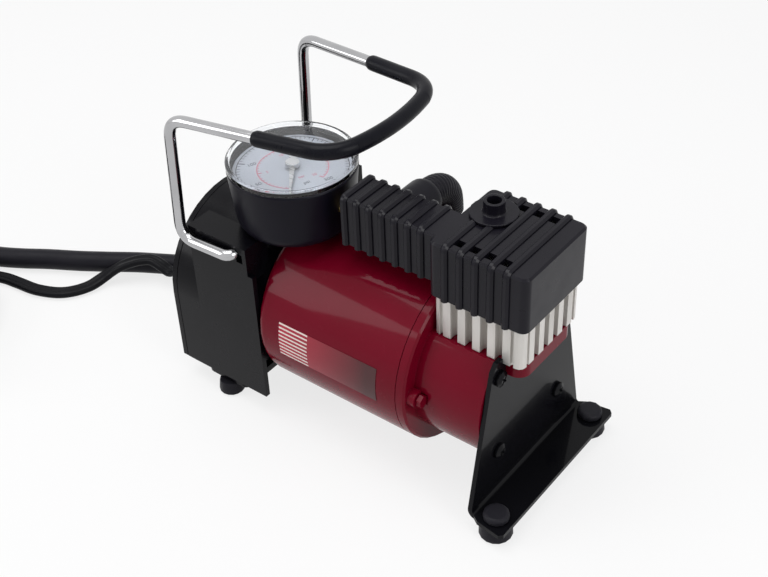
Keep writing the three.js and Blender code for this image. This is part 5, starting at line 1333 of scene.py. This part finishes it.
@dataclass
class Gauge:
    """The pressure gauge: case, dial with its scales, needle and lens."""

    shop: Workshop
    x: float = -34.0
    y: float = -7.6
    sides: int = 96
    dial_top: float = 104.2
    stem: float = 3.1
    zero: float = -52.5
    sweep: float = 300.0
    unit_turn: float = 30
    arc_width: float = 0.35
    arc_steps: int = 96
    major_width: float = 0.4
    minor_width: float = 0.22

    def build(self) -> None:
        """Makes the gauge."""
        self.case()
        self.shop.dress(DIAL_WHITE, "gauge_dial")
        self.shop.dress(BRASS, "gauge_movement")
        self.scale(PSI_SCALE)
        self.scale(BAR_SCALE)
        self.shop.refined("gauge_needle", "needle_with_hub", STEEL, 0.12)
        self.lens()

    def case(self) -> None:
        """The black case, drawn as one turned moulding with a hole for the stem."""
        profile = [(0.0, 82.3), (17.8, 82.3), (19.7, 82.8), (21.3, 83.85), (22.3, 85.4), (22.8, 87.3)]
        profile += [(24.65, 106.8), (24.3, 107.4), (22.7, 107.4), (22.7, 103.3), (20.4, 103.3), (20.4, 87.3)]
        profile += [(18.0, 84.7), (0.0, 84.7)]
        piece = Bench.turned("gauge_case_moulding", profile, (self.x, self.y, 0), UP, self.sides)
        bore = [(0.0, 0.0), (self.stem, 0.0), (self.stem, 24.0), (0.0, 24.0)]
        Bench.carved(piece, Bench.turned("stem_hole", bore, (self.x + 10, self.y, 97), (1, 0, 0), 32))
        Bench.round_off(piece, 0.3, 3, 30)
        self.shop.seat(piece, GAUGE_PLASTIC, "gauge_case")

    def over_dial(self, share: float, radius: float, lift: float) -> Vector:
        """A point over the dial, in millimetres.

        Args:
            share: its share of the scale's sweep.
            radius: how far it is from the middle.
            lift: how far it is over the dial.

        Returns:
            The point.
        """
        turn = math.radians(self.zero - self.sweep * share)
        x, y = self.x + radius * math.cos(turn), self.y + radius * math.sin(turn)
        return Vector((x, y, self.dial_top + lift))

    def words(self, text: str, place: Vector, size: float) -> Piece:
        """A number or a unit on the dial, upright to a reader in front of it.

        Args:
            text: what it says.
            place: its middle, in millimetres.
            size: its height.

        Returns:
            The words, as a mesh.
        """
        Bench.hold()
        upright = math.radians(self.zero - self.sweep / 2 - 90)
        bpy.ops.object.text_add(location=place * MM, rotation=(0, 0, upright))
        piece = bpy.context.active_object
        piece.data.body = text
        piece.data.size = size * MM
        piece.data.align_x = piece.data.align_y = "CENTER"
        piece.data.extrude = 0.02 * MM
        Bench.hold(piece)
        bpy.ops.object.convert(target="MESH")
        Bench.fix(piece)
        return piece

    def scale(self, scale: Scale) -> None:
        """Prints one scale: its arc, its marks, its numbers and its unit.

        Args:
            scale: what it is like.
        """
        edges = [scale.arc - self.arc_width / 2, scale.arc + self.arc_width / 2]
        shares = [k / self.arc_steps for k in range(self.arc_steps + 1)]
        rows = [[self.over_dial(share, radius, 0.05) for radius in edges] for share in shares]
        pieces = [Bench.ribbon("arc", rows, 0.04, -1.0)]
        spaces = len(scale.values) - 1
        for k in range(scale.steps + 1):
            long = k % (scale.steps // spaces) == 0
            inner, width = (scale.major, self.major_width) if long else (scale.minor, self.minor_width)
            middle = self.over_dial(k / scale.steps, (inner + scale.arc) / 2, 0.03)
            turn = (0, 0, self.zero - self.sweep * k / scale.steps)
            pieces.append(Bench.block(middle, turn, (scale.arc - inner, width, 0.05)))
        for k, value in enumerate(scale.values):
            place = self.over_dial(k / spaces, scale.number_radius, 0.02)
            pieces.append(self.words(str(value), place, scale.word_size))
        place = self.over_dial(-self.unit_turn / self.sweep, scale.unit_radius, 0.02)
        pieces.append(self.words(scale.unit, place, scale.word_size))
        Bench.hold(*pieces)
        bpy.ops.object.join()
        pieces[0].name = scale.name
        self.shop.seat(pieces[0], scale.ink)

    def lens(self) -> None:
        """The clear lens with its raised rim."""
        profile = [(0.0, 107.7), (24.4, 107.7), (24.7, 108.0), (24.7, 109.7), (24.2, 110.3), (23.3, 110.3)]
        profile += [(22.7, 109.1), (20.0, 109.3), (14.0, 109.8), (7.0, 110.1), (0.0, 110.2)]
        piece = Bench.turned("gauge_lens_moulding", profile, (self.x, self.y, 0), UP, self.sides)
        Bench.round_off(piece, 0.2, 3, 25)
        self.shop.seat(piece, LENS, "gauge_lens")


@dataclass
class Stand:
    """The bent sheet stand, its screws and the front feet."""

    shop: Workshop
    recess: Point = (1.6, 3.4, 0.8)

    def build(self) -> None:
        """Makes the stand."""
        self.shop.refined("front_stand", "bent_front_stand", BLACK_PAINT, 0.35, 3, 24)
        for level in ("lower", "upper"):
            for side in SIDES:
                self.screw(f"{level}_{side}")
        for side in SIDES:
            self.shop.refined(f"front_foot_{side}", f"front_foot_rubber_{side}", FOOT_RUBBER, 0.7, 3)

    def screw(self, place: str) -> None:
        """A pan-head screw with a cross recess.

        Args:
            place: which of the screws it is.
        """
        node = f"stand_screw_{place}"
        low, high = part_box(node)
        middle = (low + high) / 2 / MM
        middle.x = high.x / MM
        piece = self.shop.copied(node, f"pan_screw_{place}")
        for angle in (45, 135):
            Bench.carved(piece, Bench.block(middle, (angle, 0, 0), self.recess))
        Bench.round_off(piece, 0.3, 3, 30)
        self.shop.seat(piece, BLACK_PAINT, node)


@dataclass
class Housing:
    """The rear housing with its cover, base, switch and feet."""

    shop: Workshop

    def build(self) -> None:
        """Makes the housing."""
        refined = self.shop.refined
        refined("rear_housing", "rear_housing_shell", HOUSING_PLASTIC, 0.7, 3, 26)
        refined("rear_cover", "rear_cover_plate", HOUSING_PLASTIC, 0.15, 2, 26)
        refined("rear_base", "rear_base_plate", HOUSING_PLASTIC, 0.4)
        refined("switch_frame", "switch_bezel", GAUGE_PLASTIC, 0.3)
        refined("switch_rocker", "switch_rocker_cap", ROCKER_PLASTIC, 0.5, 3)
        for side in SIDES:
            refined(f"rear_foot_{side}", f"rear_foot_rubber_{side}", FOOT_RUBBER, 0.7, 3)


@dataclass
class Handle:
    """The wire bow with its rubber sleeve."""

    shop: Workshop
    wire: float = 2.2
    sides: int = 28
    step: float = 0.9
    bend_steps: int = 24
    sleeve: float = 2.95
    sleeve_sides: int = 32
    bore_gap: float = 0.12
    grip_corner: int = 4
    half: tuple[Bend, ...] = (
        Bend(-42, 27, 78.4),
        Bend(-42, 37.55, 78.4, 3.4),
        Bend(-67, 37.55, 77.2, 8),
        Bend(-64.8, 36.95, 130, 8),
        Bend(-27.5, 32.4, 132.4),
        Bend(4.2, 28.2, 134.4, 11),
    )
    bow: Bend = Bend(11, 0, 134.5, 20)

    def build(self) -> None:
        """Bends the wire and pushes the sleeve on."""
        near = [Bend(b.x, -b.y, b.z, b.set_back) for b in self.half]
        corners = [*near, self.bow, *reversed(self.half)]
        path = spread(rounded_path(corners, self.bend_steps), self.step)
        wire = swept("handle_wire_bow", path, round_section(self.wire, self.sides), Lay.ROLLING)
        rounding = {"width": 0.6 * MM, "segments": 3, "angle_limit": math.radians(60)}
        Bench.modify(wire, "BEVEL", limit_method="ANGLE", **rounding)
        Bench.smooth(wire, SWEPT_SHARP)
        self.shop.seat(wire, CHROME, "handle_wire", body="handle")
        start = near[self.grip_corner].point()
        first = min(range(len(path)), key=lambda i: (path[i] - start).length)
        grip = self.tube("handle_sleeve", path[first : len(path) - first])
        self.shop.seat(grip, GRIP_RUBBER, "handle_grip", body="handle")

    def tube(self, name: str, path: Sequence[Vector]) -> Piece:
        """The sleeve: a tube with rounded lips, a little proud of the wire.

        Args:
            name: the piece's name.
            path: the wire's middle under it, in millimetres.

        Returns:
            The sleeve.
        """
        last, inner = len(path) - 1, self.wire + self.bore_gap
        lip, shoulder = self.sleeve - 0.5, self.sleeve - 0.1
        # out over the rear lip, along the sleeve, in over the front lip and back through the bore
        loops = [(0, inner), (0, lip), (1, shoulder), *((i, self.sleeve) for i in range(2, last - 1))]
        loops += [(last - 1, shoulder), (last, lip), *((i, inner) for i in range(last, 0, -1))]
        ring, ways = round_section(1, self.sleeve_sides), directions(path, Lay.ROLLING)
        points, count = [], len(ring)
        for i, radius in loops:
            across, up = ways[i]
            points += [path[i] + (across * u + up * v) * radius for u, v in ring]
        piece = Bench.shell(name, points, bands([*range(0, len(points), count), 0], count))
        Bench.smooth(piece, SWEPT_SHARP)
        return piece


# ---- main


def corners(box: tuple[Vector, Vector]) -> list[list[float]]:
    """A box's corners as plain numbers."""
    return [list(corner) for corner in box]


def main() -> None:
    """Dresses the whole compressor."""
    logging.basicConfig(level=logging.INFO, format="%(message)s")
    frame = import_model()
    Bench.hold()
    bpy.context.scene.view_settings.view_transform = "Standard"
    Studio().build()
    shop = Workshop(frame)
    for kind in (PowerLead, AirLine, Motor, Pump, Cover, Gauge, Stand, Housing, Handle):
        kind(shop).build()
        LOG.info("%s is done", kind.__name__)


if __name__ == "__main__":
    main()
